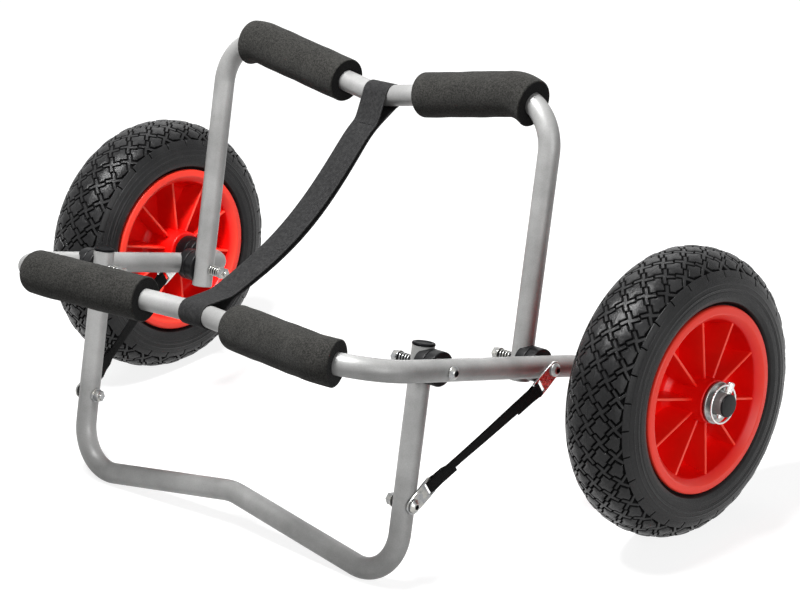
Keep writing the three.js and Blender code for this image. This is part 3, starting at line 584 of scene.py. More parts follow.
for bar, path, normal, matrix, body in (("Top", topLine, squareY, upright, "upright"),
                                        ("Nose", noseLine, squareZ, chassis, "base")):
    for side, sign in sides:
        foamPiece(f"foam{bar}{side.capitalize()}", path, normal, matrix,
                  foam[bar.lower() + side.capitalize()], sign, body, f"{bar.lower()}_foam_{side}")
print("foam sleeves made")

# tyres: a carcass of revolution, and on it diamonds, crosses between their corners and shoulder
# bars; a tile's rings are (how far its outline is grown, its scale, its height)
tyre = dict(
    crown=130.0, waist=92.0, halfWidth=37.0, square=2.3,
    collar=(35.3, 88.0, 1.2), lipClear=(30.3, 85.2, 1.0), bead=(30.0, 73.0, 0),
    pitches=29, rows=2, rowShare=0.105, middleShare=0.537, depth=2.6, foot=-2.9,
    turn=dict(left=radians(4.5), right=radians(0.7)),
    arm=1.4, gap=1.75, step=0.7, slope=0.35, blockCut=4.9, armCut=10.6,
    blockRings=((0.25, 1, -2.9), (0.0, 1, -0.4), (-0.35, 1, 0.05), (-0.4, 0.6, 0.32),
                (-0.4, 0.0, 0.42)),
    crossRings=((0.2, 1, -2.9), (0.0, 1, -0.5), (-0.25, 1, -0.16), (-0.3, 0.0, -0.08)),
    barAt=6.4, barEnd=13.4, notch=1.5, notchShift=3.0, shoulder=(11.0, 11.3, 14.0),
    ridges=((48.0, 0.35), (52.5, 0.45), (55.0, -0.4)), ridgeWide=0.55, around=348,
    riseWide=2.0, runs=(60, 9, 60, 9, 60),
)


def tyreSection():  # x = w cos^(2/n), r = waist + h sin^(2/n), left to right
    t = tyre
    a = np.linspace(pi, 0, 1201)
    c, s = np.cos(a), np.clip(np.sin(a), 0, None)
    x = t["halfWidth"] * np.sign(c) * np.abs(c) ** (2 / t["square"])
    r = t["waist"] + (t["crown"] - t["waist"]) * s ** (2 / t["square"])
    line = joined(x, r)
    return line, pathLengths(line), left(unit(np.gradient(line, axis=0)))


section, sectionMark, sectionOut = tyreSection()
treadMiddle = tyre["middleShare"] * sectionMark[-1]
rowStep = tyre["rowShare"] * sectionMark[-1]
halfPitch = pi * tyre["crown"] / tyre["pitches"]
sideLength = hypot(halfPitch, rowStep)


def onTread(q, lift):  # length q from the tread's middle and a height come to (x, r)
    at = treadMiddle + q
    return (sampled(section, sectionMark, at)
            + sampled(sectionOut, sectionMark, at) * np.asarray(lift)[..., None])


def grown(outline, by):  # a closed outline moved off itself, each corner along its mitre
    into = unit(outline - np.roll(outline, 1, axis=0))
    a, b = left(into), left(np.roll(into, -1, axis=0))
    return outline - by * (a + b) / np.maximum(1 + (a * b).sum(axis=1), 0.4)[:, None]


def blockOutline():  # each side steps in half way: near its start it stands further out
    t = tyre
    corners = np.array([(halfPitch, 0), (0, rowStep), (-halfPitch, 0), (0, -rowStep)])
    way = (np.roll(corners, -1, axis=0) - corners) / sideLength
    inward = left(way)
    near, far = t["arm"] + t["gap"] - t["step"], t["arm"] + t["gap"] + t["step"]
    points = []
    for k in range(4):
        middle = corners[k] + way[k] * sideLength / 2
        offs = [inward[k - 1] @ corners[k] + far, inward[k] @ corners[k] + near]
        points += [np.linalg.solve([inward[k - 1], inward[k]], offs),
                   middle + inward[k] * near - way[k] * t["slope"],
                   middle + inward[k] * far + way[k] * t["slope"]]
    return np.array(points)


def crossOutline(reach):  # four arms on the lattice lines, each a little to its own right
    t = tyre
    ways = np.array([(1, 1), (-1, 1), (-1, -1), (1, -1)]) * (halfPitch, rowStep) / sideLength
    right = -left(ways)
    wide, thin = t["arm"] + t["step"], t["arm"] - t["step"]
    points = []
    for k in range(4):
        points += [ways[k] * reach[k] + right[k] * wide, ways[k] * reach[k] - right[k] * thin,
                   np.linalg.solve([right[k], right[(k + 1) % 4]], [-thin, wide])]
    return np.array(points)


def treadTile(outline, rings):  # one closed line for each ring, and their heights
    lines = np.stack([grown(outline, by) * share for by, share, _ in rings])
    lines = np.concatenate([lines, lines[:, :1]], axis=1)
    return lines, np.repeat([[lift] for _, _, lift in rings], lines.shape[1], axis=1)


def barTile():  # shoulder bar from notch to notch, its walls going down at three edges
    t = tyre
    half, at, foot = halfPitch - t["notch"] / 2, t["barAt"], t["foot"]
    p = np.r_[-half - 0.2, -half, -half + 0.25, np.linspace(-half + 2, half - 2, 8),
              half - 0.25, half, half + 0.2]
    q = np.array([at - 0.2, at, at + 0.25, at + 3, t["barEnd"] - 1.2, t["barEnd"]])
    liftP = np.r_[foot, -0.2, 0.02, np.full(8, 0.05), 0.02, -0.2, foot]
    liftQ = np.array([foot, -0.2, 0.02, 0.05, 0.02, -0.25])
    return joined(p + t["notchShift"], q[:, None]), np.minimum(liftP, liftQ[:, None])


def treadGrids(matrix, turn):  # every tile once each pitch, next rows half a pitch on
    t = tyre
    last, reach = t["rows"], sideLength / 2 - t["gap"] / 2
    tiles = []
    for row in range(-last, last + 1):
        outline, ends = blockOutline(), np.full(4, reach)
        if row == last:  # the outermost rows are cut off by the shoulder bars
            outline[:, 1], ends[:2] = np.minimum(outline[:, 1], t["blockCut"]), t["armCut"]
        if row == -last:
            outline[:, 1], ends[2:] = np.maximum(outline[:, 1], -t["blockCut"]), t["armCut"]
        shifted = (row - last) / 2
        tiles += [(row, shifted, *treadTile(outline, t["blockRings"])),
                  (row, shifted + 0.5, *treadTile(crossOutline(ends), t["crossRings"]))]
    bar, barLift = barTile()
    tiles += [(last, 0.0, bar, barLift), (-last, 0.0, bar * (-1, -1), barLift)]
    grids = []
    for row, shifted, tile, lift in tiles:
        q = tile[..., 1] + row * rowStep
        x, r = np.moveaxis(onTread(q, lift), -1, 0)
        # uv X falls to 0 down the block walls, so the grooves get the painted shade
        uv = joined(np.clip(1 + lift / t["depth"], 0, 1), q * 0.01 + 0.5)
        for k in range(t["pitches"]):
            a = (pi / 2 + turn + 2 * pi * (k + shifted) / t["pitches"]
                 + tile[..., 0] / t["crown"])
            grids.append((placed(roundX(x, r, a), matrix), uv))
    return grids


def carcassGrid(matrix):  # the section, sunk to the tread's floor and rising at its edges
    t = tyre
    flat, foot, end = (t["rows"] * rowStep + part for part in t["shoulder"])
    stops = [-treadMiddle, -end, -flat, flat, end, sectionMark[-1] - treadMiddle]
    runs = zip(stops, stops[1:], t["runs"])
    q = chained(stops[:1], *(np.linspace(*run)[1:] for run in runs))
    rise = np.clip((np.abs(q) - foot) / t["riseWide"], 0, 1)
    lift = -t["depth"] * (1 - rise * rise * (3 - 2 * rise))
    fromCrown = np.abs(q + treadMiddle - sectionMark[-1] / 2)
    for at, high in t["ridges"]:
        lift = lift + high * np.exp(-((fromCrown - at) / t["ridgeWide"]) ** 2)
    flank = onTread(q, lift)
    inner = filleted([(*flank[-1], 0), t["collar"], t["lipClear"], t["bead"]])[1:]
    profile = chained(inner[::-1] * (-1, 1), flank, inner, inner[-1:] * (-1, 1))
    grid, uv = spun(profile, t["around"], matrix)
    ones = np.ones(len(inner))
    # uv X is 0 on the tread floor, which gets the painted shade
    uv[..., 0] = np.r_[ones, rise, ones, 1][:, None]
    uv[..., 1] = np.r_[0 * ones, q * 0.01 + 0.5, 0 * ones, 0][:, None]
    return grid, uv


for side, sign in sides:
    place = wheelPlace(sign)
    addPiece(f"{side}TyreTread", [carcassGrid(place)] + treadGrids(place, tyre["turn"][side]),
             "tyre", f"{side}_wheel", f"{side}_tyre", 32.0)
print("tyres made")

# rims: a dish of revolution, and ribs that are thin plates with a rounded edge
rim = dict(half=35.7, lip=84.5, lipInner=77.0, barrel=72.0, web=2.8, hub=19.5, hubHalf=40.5,
           bore=12.9, ribs=10, ribHalf=1.25, ribPhase=radians(15.0), ribHub=30.5, ribLip=29.7,
           ribStart=15.0, ribSteps=24, ribFoot=0.35, ribRound=0.9, lipHighlight=0.55, around=192,
           ribHighlight=(0.0, 0.15, 0.8, 1, 1, 1, 0.8, 0.15, 0.0, 0.0))


def dishGrid(matrix):  # half a profile (x, r, radius) from the middle out, and its mirror
    m = rim
    half, lip, barrel, web, core = (m[name] for name in ("half", "lip", "barrel", "web", "hub"))
    face = filleted([
        (0.0, lip - 12, 0), (half - 5.8, barrel + 0.4, 1.0), (half - 5.6, lip - 0.2, 1.6),
        (half - 0.2, lip, 2.4), (half + 0.1, m["lipInner"], 2.6), (half - 6.0, barrel - 1.0, 5.0),
        (web + 6.0, barrel - 5.2, 14.0), (web + 0.3, barrel - 9.0, 9.0), (web, core + 7.0, 5.0),
        (web + 5.0, core + 1.4, 5.0), (m["hubHalf"], core, 1.2), (m["hubHalf"], m["bore"], 0)], 7)
    face[0] = (0.0, barrel + 0.4)
    profile = chained(face[::-1] * (-1, 1), face[1:], face[-1:] * (-1, 1))
    grid, uv = spun(profile, m["around"], matrix)
    # a painted highlight on the lip's rounded edge
    dustAndHighlight = np.clip((profile[:, 1] - barrel + 0.5) / 4.0, 0, 1) * (np.abs(profile[:, 0]) > 30)
    uv[..., 0] = dustAndHighlight[:, None] * m["lipHighlight"]
    return grid, uv


def ribGrids(matrix):  # each plate's section goes over its top in a half circle
    m = rim
    reach = np.linspace(m["ribStart"], m["barrel"] + 0.5, m["ribSteps"])
    top = np.interp(reach, [m["hub"], reach[-1] - 4], [m["ribHub"], m["ribLip"]])[:, None]
    t, a, foot = m["ribHalf"], np.linspace(0, pi, 7), np.full_like(top, m["web"] - 1.0)
    wide, over = t + m["ribFoot"], t * m["ribRound"]
    across = np.r_[-wide, -t * np.cos(a), wide, -wide]
    x = np.concatenate([foot, top - over + over * np.sin(a), foot, foot], axis=1)
    # a painted highlight over each rib's rounded top, fading out towards the hub
    dustAndHighlight = (np.array(m["ribHighlight"])
            * np.interp(reach, [m["hub"] + 2, m["hub"] + 14], [0.1, 0.9])[:, None])
    uv, grids = joined(dustAndHighlight, 0.0), []
    for k in range(m["ribs"]):
        c, s = (f(m["ribPhase"] + 2 * pi * k / m["ribs"]) for f in (cos, sin))
        y, z = reach[:, None] * c - across * s, reach[:, None] * s + across * c
        for face in (1, -1):
            grid = placed(joined(x * face, y, z), matrix)
            grids.append((grid, uv))
            for line in (grid[0], grid[-1]):  # both ends are closed to a point on the web
                end = np.stack([line, np.repeat(line[:1], 10, axis=0)])
                grids.append((end, np.zeros((2, 10, 2))))
    return grids


for side, sign in sides:
    place = wheelPlace(sign)
    addPiece(f"{side}RimDish", [dishGrid(place)] + ribGrids(place), "rim", f"{side}_wheel",
             f"{side}_rim", 38.0)
print("rims made")

# what sits on the axles: profiles (x, r, radius), x outward
hub = dict(bushRadius=12.9, bushHalf=41.5, washerAt=386.8, washer=2.6, washerRadius=18.8, fit=0.15,
           collarAt=280.0, collarEnd=303.0, collarRadius=16.5, capAt=399.3, capRadius=10.4,
           plug=8.2)

for side, sign in sides:
    h, outward, w = hub, chassis @ flip(sign), cart["tube"] + hub["fit"]
    b, r = h["bushHalf"], h["bushRadius"]
    turnedPiece(f"{side}Bush", [(-b, w, 0), (-b, r, 0.5), (b, r, 0.5), (b, w, 0.3), (-b, w, 0)],
                wheelPlace(sign) @ flip(sign), "bush", f"{side}_wheel", f"{side}_hub_bush")
    a, e, r = h["collarAt"], h["collarEnd"], h["collarRadius"]
    turnedPiece(f"{side}Collar", [
        (a, w, 0), (a, r, 1.6), (a + 7.0, r, 0.3), (a + 7.6, r - 0.7, 0.2), (a + 9.4, r - 0.7, 0.2),
        (a + 10, r, 0.3), (e, r, 1.2), (e, w, 0.3), (a, w, 0)],
        outward, "nylon", "base", f"{side}_axle_collar")
    a, e, r = h["washerAt"], h["washerAt"] + h["washer"], h["washerRadius"]
    turnedPiece(f"{side}Washer", [
        (a, w, 0), (a, r, 0.5), (e, r, 0.9), (e + 0.2, w + 2.5, 1.0), (e, w, 0.3), (a, w, 0)],
        outward, "zinc", "base", f"{side}_hub_washer")
    a, r, p = h["capAt"], h["capRadius"], h["plug"]
    turnedPiece(f"{side}AxleCap", [
        (a - 8.5, 0, 0), (a - 8.5, p, 0.5), (a, p, 0), (a, r, 0.2), (a + 2.0, r - 0.2, 1.3),
        (a + 2.2, 3.0, 0.8), (a + 2.2, 0, 0)], outward, "nylon", "base", f"{side}_axle_cap")
print("hub pieces made")

# ring pins: the pin goes through the axle, and its head holds the wire ring
pin = dict(plane=394.5, angle=radians(72.0), radius=2.5, tip=13.0, headBase=11.2, headTop=20.4,
           headRadius=3.8, ring=17.0, wire=0.9, opening=0.06)

for side, sign in sides:
    outward = chassis @ shift(sign * pin["plane"], 0, 0) @ turnX(pin["angle"])
    tip, r, base, top, wide = (pin[size] for size in ("tip", "radius", "headBase", "headTop",
                                                      "headRadius"))
    turnedPiece(f"{side}Pin", [
        (-tip, 0, 0), (-tip, 1.2, 0.5), (1.6 - tip, r, 0.8), (base, r, 0.1), (base, wide, 0.5),
        (top, wide, 1.6), (top, 0, 0)], outward @ axes((0, 1, 0), (-1, 0, 0), (0, 0, 1)),
        "wire", "base", f"{side}_ring_pin", 32)
    a = np.linspace(pin["opening"], 2 * pi - pin["opening"], 120)
    ring, ways = roundX(0, pin["ring"], a), roundX(0, 1, a + pi / 2)
    grid, places = wireGrid(ring, ways, pin["wire"], (1, 0, 0), 14)
    addPiece(f"{side}PinRing", [(placed(grid, outward), sweepUv(places, 15))], "wire",
             f"{side}_bail", f"{side}_pin_bail")
print("ring pins made")

# pivots: two saddles, a bolt with a socket head, a spring and a flanged nut
pivot = dict(
    saddle=15.5, saddleEdge=1.1, saddleAround=96, shy=3.0, plane=225.5, split=0.15,
    bolt=3.0, tip=178.0, head=6.2, headHigh=4.2, socket=2.3, thread=3.02, spacer=2.0,
    nutAt=180.0, nut=5.6, flats=10.0, flange=1.4, flangeRadius=5.9, nutBore=3.1,
    corner=0.385, springRadius=4.4, springWire=0.75, curls=4, curlSteps=28, around=48,
)


def saddleGrid(tubeAt, along, sign, matrix):  # a round block along X, scooped out round the tube
    s = pivot
    outward = 1 if tubeAt > s["plane"] else -1
    face, back = s["plane"] + outward * s["split"], tubeAt - outward * s["shy"]
    edge, bend = s["saddleEdge"], np.linspace(0.2, 1, 6) * pi / 2
    flat = s["saddle"] - edge
    rho = np.r_[0, np.linspace(0.2, 1, 15) * flat, flat + edge * np.sin(bend)][:, None]
    roll = np.r_[np.zeros(16), edge * (1 - np.cos(bend))][:, None]
    a = onceRound(s["saddleAround"])
    y, z = rho * np.cos(a), rho * np.sin(a)
    off = z if along == "y" else y  # distance from the tube's line
    scoop = np.sqrt(np.clip((cart["tube"] + cart["clear"]) ** 2 - off ** 2, 0, None))
    hollow = np.where(scoop > s["shy"], tubeAt - outward * scoop, back)
    rear = outward * np.minimum(outward * hollow, outward * back - roll)
    grid = [joined(sign * x, y, z) for x in (face + outward * roll, rear)]
    return plainGrid(chained(grid[0], grid[1][::-1]), matrix)


def boltGrids(tip, seat, high, sign, matrix):  # shank and domed head, and the socket in it
    reach, head, socket, shank = seat + high, pivot["head"], pivot["socket"], pivot["bolt"]
    line = filleted([
        (tip, 0, 0), (tip, shank - 0.6, 0.2), (tip + 0.8, shank, 0.4), (seat, shank, 0.1),
        (seat, head, 0.3), (seat + 1.2, head, 0.9), (reach - 0.5, head * 0.62, 1.6),
        (reach, socket + 0.7, 0.4), (reach, socket, 0)], 4)
    a = onceRound(pivot["around"])
    flat = socket / np.cos((a + pi / 6) % (pi / 3) - pi / 6)
    flat = np.minimum(flat, socket * 1.12) * 0.98
    x = sign * np.array([reach, reach - 0.15, reach - 2.0, reach - 2.2])[:, None]
    hole = roundX(x, np.stack([socket + 0 * a, flat, flat, 0 * a]), a)
    return [spun(line * (sign, 1), pivot["around"], matrix)], [plainGrid(hole, matrix)]


def nutGrids(start, flangeRadius, sign, matrix):  # six flats with eased corners, and a flange
    s, a, r = pivot, onceRound(12), flangeRadius
    end = start + s["nut"]
    radius = np.where(np.arange(13) % 2 == 0, s["flats"] / sqrt(3), s["flats"] / 2)
    x = np.array([start, start, start + s["corner"], end - s["corner"], end, end])[:, None]
    share = np.array([0, 0.86, 1, 1, 0.86, 0])[:, None]
    under, top, bore = end - 0.4, end + s["flange"], s["nutBore"]
    flange = filleted([(under, bore, 0), (under, r - 1.2, 0.3), (end, r, 0.3), (top, r, 0.3),
                       (top, bore, 0.2), (under, bore, 0)], 4)
    return [plainGrid(roundX(sign * x, share * radius, a), matrix),
            spun(flange * (sign, 1), s["around"], matrix)]


def springGrid(start, end, sign, matrix):  # a helix that climbs along X, and a round wire on it
    s, wire = pivot, pivot["springWire"]
    climb = np.linspace(0, 1, s["curls"] * s["curlSteps"] + 1)
    a = climb * 2 * pi * s["curls"]
    line = roundX(sign * (start + wire + (end - start - 2 * wire) * climb), s["springRadius"], a)
    outward = roundX(0, 1, a)
    across = np.cross(unit(np.gradient(line, axis=0)), outward)
    ring = wire * circle(12)
    grid = line[:, None] + ring[:, :1] * outward[:, None] + ring[:, 1:] * across[:, None]
    ends = [np.repeat(line[k, None, None], 13, axis=1) for k in (0, -1)]
    return plainGrid(chained(ends[0], grid, ends[1]), matrix)


def pivotPieces(name, leg, at, seat, side, sign):
    s, arm = pivot, chassis @ shift(0, -at, 0)
    title = f"{name}{side.capitalize()}"
    addPiece(title + "ArmSaddle", [saddleGrid(cart["armHalf"], "y", sign, arm)], "nylon", "base",
             f"{name}_arm_saddle_{side}")
    addPiece(title + "LegSaddle", [saddleGrid(cart["legHalf"], "z", sign, leg)], "nylon", name,
             f"{name}_leg_saddle_{side}")
    head, socket = boltGrids(s["tip"], seat, s["headHigh"], sign, arm)
    addPiece(title + "Bolt", head, "zinc", "base", f"{name}_pivot_bolt_{side}", 30.0)
    nutEnd = s["nutAt"] + s["nut"] + s["flange"]
    thread = np.array([(nutEnd, s["thread"]), (cart["legHalf"] - cart["tube"], s["thread"])])
    # the thread and the socket floors are painted near-black, as shade
    addPiece(title + "Thread", socket + [spun(thread * (sign, 1), 32, arm)], "dark", "base", None,
             30.0)
    addPiece(title + "Nut", nutGrids(s["nutAt"], s["flangeRadius"], sign, arm), "zinc", "base",
             f"{name}_pivot_nut_{side}", 30.0)
    addPiece(title + "Spring", [springGrid(nutEnd + cart["clear"], legBack, sign, arm)], "zinc",
             "base", f"{name}_pivot_spring_{side}", 60.0)


for side, sign in sides:
    pivotPieces("upright", upright, cart["uprightPivot"], armFace + pivot["spacer"], side, sign)
    pivotPieces("kickstand", stand, cart["standPivot"], armFace, side, sign)
    a = cart["standTop"] + cart["clear"]
    turnedPiece(f"kickstandCap{side.capitalize()}", [
        (a - 9, 0, 0), (a - 9, 8.0, 0.4), (a, 8.0, 0), (a, 10.4, 0.2), (a + 2.0, 10.2, 1.0),
        (a + 2.2, 7.4, 0.5), (a + 1.5, 6.6, 0.4), (a + 1.5, 0, 0)],
        stand @ shift(sign * cart["legHalf"], 0, 0) @ axes((0, 0, -1), (0, 1, 0), (-1, 0, 0)),
        "plug", "kickstand", f"kickstand_cap_{side}")
print("pivots made")

# braces: zinc tabs, bolts, nuts and narrow webbing; reach is from the kickstand's pivot to its tab
brace = dict(reach=124.0, width=12.5, thick=1.3, tab=2.0, tabEdge=0.3, eye=7.5, halfWidth=8.6,
             slot=22.0, slotHigh=4.6, bar=4.0, shoulder=6.0, tip=2.2, tabSteps=161, fold=27.0,
             ease=7.0, headHigh=3.4, nutFlange=6.6,
             boltPast=2.0, held=8.0, layer=0.55, corner=3.0, steps=220, thread=0.22, hem=1.6,
             stitches=6, stitchRows=(4, 12))
dropY = brace["reach"] * sin(cart["lean"]) - cart["standPivot"] + cart["uprightPivot"]
dropZ = -brace["reach"] * cos(cart["lean"])
braceAngle, braceSpan = atan2(dropZ, dropY), hypot(dropY, dropZ)
outX, inX = armFace + brace["tab"] / 2, legFace + brace["tab"] / 2


def tabGrid(matrix):  # round the eye, the shoulders and the slot's end; inside, the slot
    b, half = brace, brace["halfWidth"]
    end, neck = b["slot"] + b["slotHigh"] / 2 + b["bar"], b["slot"] - b["slotHigh"]
    a = np.linspace(pi / 2, 3 * pi / 2, 25)
    eye = b["eye"] * joined(np.cos(a), np.sin(a))
    bend, tip = b["shoulder"], b["tip"]
    shoulders = filleted([(0, -b["eye"], 0), (neck, -half, bend), (end, -half, tip),
                          (end, half, tip), (neck, half, bend), (0, b["eye"], 0)], 6)
    ring = resampled(chained(eye, shoulders[1:]), b["tabSteps"])
    centre, thick, edge = np.array([b["slot"], 0.0]), b["tab"] / 2, b["tabEdge"]
    away = unit(ring - centre)
    slot = np.abs(away) / (b["slotHigh"] / 2, b["width"] / 2 + 0.5)
    inner, eased = centre + away / slot.max(axis=1, keepdims=True), ring - away * edge
    rows = [(inner, -thick), (eased, -thick), (ring, -thick + edge), (ring, thick - edge),
            (eased, thick), (inner, thick), (inner, -thick)]
    grid = np.stack([np.insert(line, 2, z, axis=1) for line, z in rows])
    return plainGrid(grid, matrix)


def tabPlace(base, x, angle, sign):  # its length along +Y turned by angle, its thickness along X
    return base @ shift(sign * x, 0, 0) @ turnX(angle) @ axes((0, 1, 0), (0, 0, 1), (1, 0, 0))


def bandGrid(line, across, normals, size, edges, wide=1.0):
    # webbing: line + across times a share of the half width + normal times a share of the half
    # thickness, with rounded edges; uv in metres
    half, thick = size[0] / 2, size[1] / 2
    share = np.array([-1, -edges[0], -edges[1], -0.5, 0, 0.5, edges[1], edges[0], 1.0])
    high = np.array([0.0, 0.75, 1, 1, 1, 1, 1, 0.75, 0.0])
    ring = chained(joined(share, high), joined(share, -high)[-2::-1])
    grid = (line[:, None] + ring[:, :1] * half * np.reshape(wide, (-1, 1, 1)) * across[:, None]
            + ring[:, 1:] * thick * normals[:, None])
    return grid, joined(ring[:, 0] * half * 0.001, pathLengths(line)[:, None] * 0.001)


def stitchGrid(middle, run, rise, radius, normal, matrix, ways=None):
    # one stitch: middle + run s + rise sin, s from -1 to 1, as a round thread
    line = (middle + np.outer(np.linspace(-1, 1, 6), run)
            + np.outer(np.sin(np.linspace(0, pi, 6)), rise))
    ways = unit(np.gradient(line, axis=0)) if ways is None else ways
    return plainGrid(wireGrid(line, ways, radius, normal, 6)[0], matrix, 0.01)


def braceWebbing(side, sign):  # runs straight, wraps each tab's bar and lies back on itself
    b, t, fold, ease = brace, brace["thick"], brace["fold"], brace["ease"]
    bar = b["slot"] + b["slotHigh"] / 2 + b["bar"] / 2
    length = hypot(braceSpan - 2 * bar, outX - inX)
    gap, reach, rise = t * b["layer"], b["bar"] / 2 + 0.7 + t / 2, b["tab"] / 2 + 0.5 + t / 2
    over, a = gap + t * 0.5, np.linspace(0, pi, 14)
    # in the band's own plane: x along it, y off it; the outer layer is the folded one at both ends
    line = chained(
        [(fold, over), (ease + 2, over)],
        joined(-reach * np.sin(a), rise * np.cos(a)),
        [(ease, -gap), (length * 0.5, -gap * 0.4), (length - ease, -gap)],
        joined(length + reach * np.sin(a), -rise * np.cos(a)),
        [(length - ease - 2, over), (length - fold, over)])
    line = resampled(filleted(np.insert(line, 2, b["corner"], axis=1), 4), b["steps"])
    way = unit(np.gradient(line, axis=0))
    flat = np.insert(line, 1, 0.0, axis=1)
    normals = joined(-way[:, 1], 0.0, way[:, 0])
    along = np.array([0, cos(braceAngle), sin(braceAngle)])
    start = np.array([sign * outX, 0, 0]) + along * bar
    end = np.array([sign * inX, dropY, dropZ]) - along * bar
    x = unit(end - start)
    y = unit(np.cross((sign, 0, 0), x))
    own = arms @ axes(x, y, np.cross(x, y), start)
    # drawn in between the folded ends, most near the stand
    drawn = np.interp(line[:, 0] / length, [0.1, 0.3, 0.72, 0.84, 0.88], [1, 0.92, 0.72, 0.72, 1])
    grid, uv = bandGrid(flat, unit(np.cross(unit(np.gradient(flat, axis=0)), normals)), normals,
                        (b["width"], t), (0.985, 0.94), np.where(line[:, 1] < 0, drawn, 1.0))
    caps = [np.repeat(flat[k, None, None], grid.shape[1], axis=1) for k in (0, -1)]
    grids = [(placed(chained(caps[0], grid, caps[1]), own), chained(uv[:1], uv, uv[-1:]))]
    edge = b["width"] / 2 - b["hem"]
    rows = [fold - row for row in b["stitchRows"]]
    for at in rows + [length - row for row in rows]:  # on both folds
        for off in np.linspace(-edge, edge, b["stitches"]):
            grids.append(stitchGrid((at, off, gap + t + 0.05), (0.2, 0.7, 0), (0, 0, 0.18),
                                    b["thread"], (1, 0, 0), own))
    piece = addPiece(f"braceWebbing{side.capitalize()}", grids, "braceWebbing", None,
                     f"brace_strap_{side}", 50.0)
    tuple(placed(start + along * b["held"], arms))
    tuple(placed(end - along * b["held"], arms))
    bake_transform(piece)


for side, sign in sides:
    title, foot = side.capitalize(), stand @ shift(0, 0, brace["reach"])
    armTab = tabGrid(tabPlace(arms, outX, braceAngle, sign))
    # the arm tabs get the brighter ring-wire zinc, a lighter copy of the stand tabs' zinc, as
    # painted light for a stronger red reflection
    addPiece(f"braceArmTab{title}", [armTab], "wire", "base", f"brace_arm_tab_{side}", 30.0)
    standTab = tabGrid(tabPlace(foot, inX, braceAngle - cart["lean"], sign))
    addPiece(f"braceStandTab{title}", [standTab], "zinc", "kickstand",
             f"brace_stand_tab_{side}", 30.0)
    nutAt = legBack - pivot["nut"] - pivot["flange"]
    head, socket = boltGrids(nutAt - brace["boltPast"], inX + brace["tab"] / 2 + cart["clear"],
                             brace["headHigh"], sign, foot)
    addPiece(f"braceBolt{title}", head, "zinc", "kickstand", f"brace_bolt_{side}", 30.0)
    # the socket floor is painted near-black, as shade
    addPiece(f"braceSocket{title}", socket, "dark", "kickstand", None, 30.0)
    addPiece(f"braceNut{title}", nutGrids(nutAt, brace["nutFlange"], sign, foot), "zinc",
             "kickstand", f"brace_nut_{side}", 30.0)
    braceWebbing(side, sign)
print("braces made")

# connecting strap: one closed band of webbing round both bars, its two layers lying together
strap = dict(width=30.0, thick=1.5, sag=21.0, ease=0.5, between=0.35, meet=30.0, apart=2.4,
             aside=3.2, seam=33.0, drop=3.2, dropAt=0.085, dropWide=0.05, wrap=0.62 * pi,
             lowPast=1.1, full=1.2, steps=420, rounds=10, held=(45.0, 60.0), thread=0.3, hem=2.2,
             stitches=11)


def kinkOffset(kink, half):  # how far a bar's kink is rounded off under the strap's width
    slope = atan2(kink, half)
    return (cart["kinkRadius"] * (1 / cos(slope) - 1) + strap["width"] / 2 * tan(slope)) / 2


def strapPiece():
    s, c = strap, cart
    nose = np.array([c["noseKink"] - c["armLength"] - kinkOffset(c["noseKink"], c["armHalf"]), 0.0])
    rise = c["uprightLength"] - c["uprightKink"] + kinkOffset(c["uprightKink"], c["legHalf"])
    top = np.array([-rise * sin(c["lean"]) - c["uprightPivot"], rise * cos(c["lean"])])
    span, along = np.linalg.norm(nose - top), unit(nose - top)
    off = np.array([-along[1], along[0]])
    off = off * np.sign(off[1])  # away from the ground
    radius = c["tube"] + s["ease"] + s["thick"] / 2
    layer = s["thick"] / 2 + s["between"]
    x = np.linspace(s["meet"], span - s["meet"], 60)
    u = x / span  # it hangs lowest a little past its middle, and drops at its seam
    hang = -s["sag"] * np.sin(pi * u ** s["lowPast"]) ** s["full"]
    hang -= s["drop"] * np.exp(-((u - s["dropAt"]) / s["dropWide"]) ** 2)
    a = np.linspace(-s["wrap"], s["wrap"], 40)
    overTop = joined(-radius * np.cos(a), radius * np.sin(a))
    underNose = joined(span + radius * np.cos(a), -radius * np.sin(a))
    upper = joined(x, hang + layer)
    lower = joined(x, hang - layer - s["apart"] * np.sin(pi * u))[::-1]
    loop = resampled(chained(overTop, upper, underNose, lower, overTop[:1]), s["steps"])
    for _ in range(s["rounds"]):  # the webbing rounds its own corners off
        smooth = (np.roll(loop[:-1], 1, 0) + np.roll(loop[:-1], -1, 0) + 2 * loop[:-1]) / 4
        loop = chained(smooth, smooth[:1])
    for centre in ((0, 0), (span, 0)):  # and stays off the bars
        away = loop - centre
        far = np.linalg.norm(away, axis=1, keepdims=True)
        loop = centre + away * np.maximum(radius / np.maximum(far, 1e-6), 1.0)
    line = np.insert(top + loop[:, :1] * along + loop[:, 1:] * off, 0, 0.0, axis=1)
    way = unit(np.roll(line[:-1], -1, 0) - np.roll(line[:-1], 1, 0))
    normals = np.cross((1.0, 0, 0), chained(way, way[:1]))
    line = line + np.clip(1 - loop[:, :1] / span, 0, 1) * (s["aside"], 0, 0)  # aside at the top bar
    size = (s["width"], s["thick"])
    grid, uv = bandGrid(line, np.array([(1.0, 0, 0)]), normals, size, (0.99, 0.96))
    grids = [(placed(grid, chassis), uv)]
    count = len(loop)  # the seam is on the upper layer, in the loop's first half
    missed = np.hypot(loop[:, 0] - s["seam"], np.where(loop[:, 1] > -s["sag"], 0, 9))
    seam = int(np.argmin(missed + np.where(np.arange(count) < count // 2, 0, 99)))
    outward = normals[seam] * copysign(s["thick"] / 2, normals[seam][1:] @ off)
    edge = s["width"] / 2 - s["hem"]
    for at in np.linspace(-edge, edge, s["stitches"]):
        grids.append(stitchGrid(line[seam] + (at, 0, 0) + outward * 1.1, (0.9, 0, 0), outward * 0.3,
                                s["thread"], (0, 0, 1), chassis, np.tile([1.0, 0, 0], (6, 1))))
    piece = addPiece("connectingWebbing", grids, "webbing", None, "connecting_strap", 50.0)
    start, end = (tuple(placed(np.array([0, *(top + along * at)]), chassis))
                  for at in (s["held"][0], span - s["held"][1]))
    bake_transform(piece)


strapPiece()
print("connecting strap made")

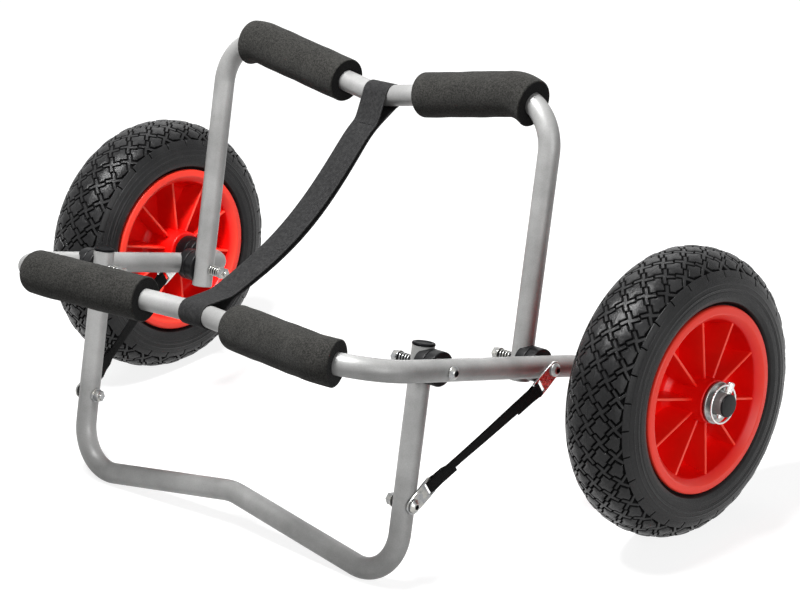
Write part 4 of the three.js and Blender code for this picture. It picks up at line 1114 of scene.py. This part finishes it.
# floor, lights and camera
studio = dict(floor=(0.30, 0.30, 0.30), cloud=(0.32, 0.32, 0.32), half=6.0, glow=0.84, world=0.10)
lamps = dict(
    keyLight=dict(place=(0.0, -0.36, 1.65), target=(0, 0, 0.15), size=0.5, power=60.0),
    fillLight=dict(place=(5.2, -1.0, 1.7), target=(0, 0, 0.15), size=2.8, power=132.0),
    backLight=dict(place=(-1.2, 1.6, 1.9), target=(0, 0, 0.2), size=1.6, power=14.0),
)
camera = dict(place=(1.741547, -1.597925, 1.130974), turn=(67.6495, 5.1938, 43.7974), lens=122.3505)


def seenRays(p):  # 1 for what the camera, a reflection or glass looks at
    kinds = ("Camera", "Glossy", "Transmission")
    seen = [p.node("LightPath", out=f"Is {kind} Ray") for kind in kinds]
    return seen[0].do("MAXIMUM", seen[1]).do("MAXIMUM", seen[2])


def floorPaint(p):
    cloud = p.noise(3.0, 2.0, 0.5)
    return dict(colour=p.mix(cloud, studio["floor"], studio["cloud"]), rough=0.85, specular=0.0,
                glow=seenRays(p) * studio["glow"], strength=1.0)


mesh, h = bpy.data.meshes.new("floor"), studio["half"]
mesh.from_pydata([(-h, -h, 0), (h, -h, 0), (h, h, 0), (-h, h, 0)], [], [(0, 1, 2, 3)])
mesh.materials.append(finish("floorPaint", floorPaint))
addToScene("floor", mesh)

for name, lamp in lamps.items():
    light = bpy.data.lights.new(name, "AREA")
    light.shape, light.size, light.energy = "DISK", lamp["size"], lamp["power"]
    x, y, z = np.array(lamp["target"]) - lamp["place"]
    made = addToScene(name, light)
    made.location = lamp["place"]
    made.rotation_euler = (acos(-z / hypot(x, y, z)), 0, atan2(y, x) - pi / 2)

world = bpy.data.worlds.new("studioWorld")
bpy.context.scene.world = world
world.use_nodes = True
sky, back = Paint(world.node_tree), world.node_tree.nodes["Background"]
sky.feed(back.inputs["Color"], (1, 1, 1))
sky.feed(back.inputs["Strength"], seenRays(sky) * (1 - studio["world"]) + studio["world"])

lens = bpy.data.cameras.new("photoCamera")
lens.sensor_width, lens.lens, lens.sensor_fit = 36.0, camera["lens"], "HORIZONTAL"
lens.clip_start, lens.clip_end = 0.05, 50.0
viewer = addToScene("photoCamera", lens)
viewer.location = camera["place"]
viewer.rotation_euler = [radians(a) for a in camera["turn"]]
bpy.context.scene.camera = viewer
bpy.context.scene.view_settings.view_transform = "Standard"
print("stage, lights and camera made")

bpy.context.view_layer.update()
